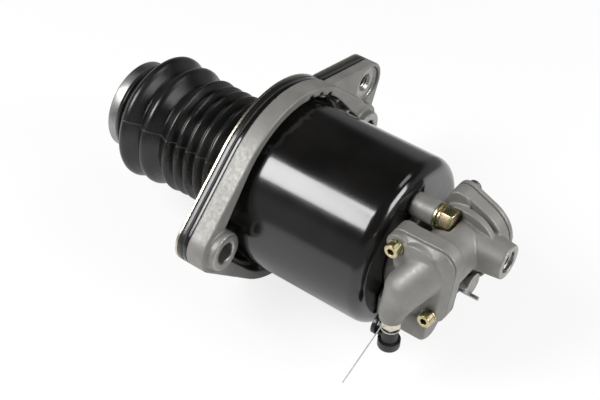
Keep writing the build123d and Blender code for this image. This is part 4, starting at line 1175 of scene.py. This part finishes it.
@dataclass
class Studio:
    """Floor, light and camera."""

    eye: tuple[float, float, float] = (0.36795, -0.48878, 0.53335)
    right: tuple[float, float, float] = (0.80074, 0.59807, 0.03344)
    up: tuple[float, float, float] = (-0.42301, 0.52507, 0.73848)
    back: tuple[float, float, float] = (0.42411, -0.60548, 0.67344)
    lens: float = 76.8
    sensor: float = 36.0
    floor_gap: float = 1.0 * MM
    floor_radius: float = 0.62
    middle: tuple[float, float, float] = (0.035, 0.0, 0.0)
    ambient: float = 0.22
    floor_fade: tuple[float, float] = (0.45, 0.98)
    floor_colour: Colour = (0.9, 0.9, 0.9)
    floor_glow: tuple[float, float] = (0.82, 0.2)
    ambient_colour: Colour = (0.97, 0.98, 1.0)
    backdrop: tuple[tuple[float, float], ...] = (
        (-30.0, 1.0),
        (-12.0, 0.36),
        (12.0, 0.36),
        (28.0, 0.03),
    )

    def camera(self) -> None:
        """Set the camera at the photograph's angle."""
        data = bpy.data.cameras.new("camera")
        data.lens = self.lens
        data.sensor_width = self.sensor
        data.clip_start = 0.01
        camera = bpy.data.objects.new("camera", data)
        bpy.context.scene.collection.objects.link(camera)
        turn = Matrix((self.right, self.up, self.back)).transposed().to_4x4()
        camera.matrix_world = Matrix.Translation(self.eye) @ turn
        bpy.context.scene.camera = camera

    def floor_z(self) -> float:
        """Return the height of the floor, just under the servo."""
        return CAD_BOX[0][2] - self.floor_gap

    def floor(self) -> None:
        """Lay a pale round floor that fades out at its rim."""
        bpy.ops.object.select_all(action="DESELECT")
        bpy.ops.mesh.primitive_circle_add(
            vertices=96,
            radius=self.floor_radius,
            fill_type="NGON",
            location=(self.middle[0], self.middle[1], self.floor_z()),
        )
        floor = bpy.context.object
        floor.name = "studio_floor"
        bpy.ops.object.transform_apply(location=True)
        material = bpy.data.materials.new("pale_floor")
        material.use_nodes = True
        graph = Graph(material.node_tree)
        graph.nodes.clear()
        place = graph.add("TexCoord").outputs["Object"]
        away = (-self.middle[0], 0, -self.floor_z())
        centred = graph.add("Mapping", {"Location": away, "Vector": place}).outputs["Vector"]
        out = graph.add("VectorMath", {0: centred}, operation="LENGTH").outputs["Value"]
        start, end = (self.floor_radius * share for share in self.floor_fade)
        rim = {"From Min": start, "From Max": end, "Value": out}
        fade = graph.add("MapRange", rim, interpolation_type="SMOOTHSTEP").outputs[0]
        diffuse = graph.add("BsdfDiffuse", {"Color": (*self.floor_colour, 1)}).outputs[0]
        glow = graph.add("Emission", {"Strength": 1.0}).outputs[0]
        shown = self.seen_rays(graph, *self.floor_glow)
        lit = graph.add("MixShader", {"Fac": shown, 1: diffuse, 2: glow}).outputs[0]
        clear = graph.add("BsdfTransparent").outputs[0]
        final = graph.add("MixShader", {"Fac": fade, 1: lit, 2: clear}).outputs[0]
        graph.add("OutputMaterial", {"Surface": final})
        finish_with(floor, material)

    def lamp(self, name: str, way: Point, along: Point, distance: float, size: Point, watts: float) -> None:
        """Hang a rectangular lamp that faces the servo.

        Args:
            name: Name of the lamp.
            way: Direction from the servo to the lamp.
            along: Direction of the lamp's long side.
            distance: Distance from the servo.
            size: Short and long side of the lamp.
            watts: Power of the lamp.
        """
        data = bpy.data.lights.new(name, "AREA")
        data.shape = "RECTANGLE"
        data.size, data.size_y = size
        data.energy = watts
        lamp = bpy.data.objects.new(name, data)
        bpy.context.scene.collection.objects.link(lamp)
        back = Vector(way).normalized()
        side = Vector(along).cross(back).normalized()
        turn = Matrix((side, back.cross(side), back)).transposed().to_4x4()
        lamp.matrix_world = Matrix.Translation(Vector(self.middle) + back * distance) @ turn

    @staticmethod
    def seen_rays(graph: Graph, direct: float = 1.0, mirrored: float = 1.0) -> Socket:
        """Return how much of the pale background a ray is shown.

        Args:
            graph: The node tree that the nodes are added to.
            direct: Share for camera rays.
            mirrored: Share for glossy and transmission rays.

        Returns:
            The share's socket.
        """
        path = graph.add("LightPath")
        total: object = 0.0
        shares = {"Is Camera Ray": direct, "Is Glossy Ray": mirrored, "Is Transmission Ray": mirrored}
        for kind, share in shares.items():
            inputs = {0: path.outputs[kind], 1: share, 2: total}
            total = graph.add("Math", inputs, operation="MULTIPLY_ADD", use_clamp=True).outputs[0]
        return total

    def world(self) -> None:
        """Light the room softly, and show a pale backdrop under a dark ceiling."""
        world = bpy.data.worlds.new("studio")
        bpy.context.scene.world = world
        world.use_nodes = True
        graph = Graph(world.node_tree)
        graph.nodes.clear()
        plain = {"Color": (*self.ambient_colour, 1), "Strength": self.ambient}
        soft = graph.add("Background", plain).outputs[0]
        place = graph.add("TexCoord").outputs["Generated"]
        height = graph.add("SeparateXYZ", {"Vector": place}).outputs["Z"]
        share = graph.add("MapRange", {"From Min": -1.0, "Value": height}).outputs["Result"]
        stops = [((math.sin(math.radians(angle)) + 1) / 2, (tone,) * 3) for angle, tone in self.backdrop]
        shown = graph.add("Background", {"Color": graph.ramp(share, stops, "EASE")}).outputs[0]
        mix = graph.add("MixShader", {"Fac": self.seen_rays(graph), 1: soft, 2: shown}).outputs[0]
        graph.add("OutputWorld", {"Surface": mix})

    def build(self) -> None:
        """Set up the camera, the floor and the light."""
        self.camera()
        self.floor()
        self.world()
        self.lamp("key_softbox", (-0.36, -0.58, 0.7), (0.0, 0.79, 0.61), 1.0, (0.46, 0.44), 9.8)
        self.lamp("side_softbox", (0.84, 0.2, 0.5), (0.0, 1.0, 0.0), 1.2, (0.45, 0.6), 9.5)
        self.lamp("top_softbox", (0.35, 0.45, 0.85), (0.0, 1.0, 0.0), 1.4, (0.4, 0.5), 2.0)
        scene = bpy.context.scene
        scene.view_settings.view_transform = "Standard"


def main() -> None:
    """Build the sub-assemblies in order."""
    logging.basicConfig(level=logging.INFO, format="%(name)s: %(message)s")
    finishes = Finishes()
    dresser = Dresser(finishes)
    Studio().build()
    FlangeStack(dresser).build()
    AirCylinder(dresser).build()
    BootAndRod(dresser).build()
    ValveBody(dresser).build()
    Fasteners(dresser).build()
    BleedPoint(dresser).build()


if __name__ == "__main__":
    main()
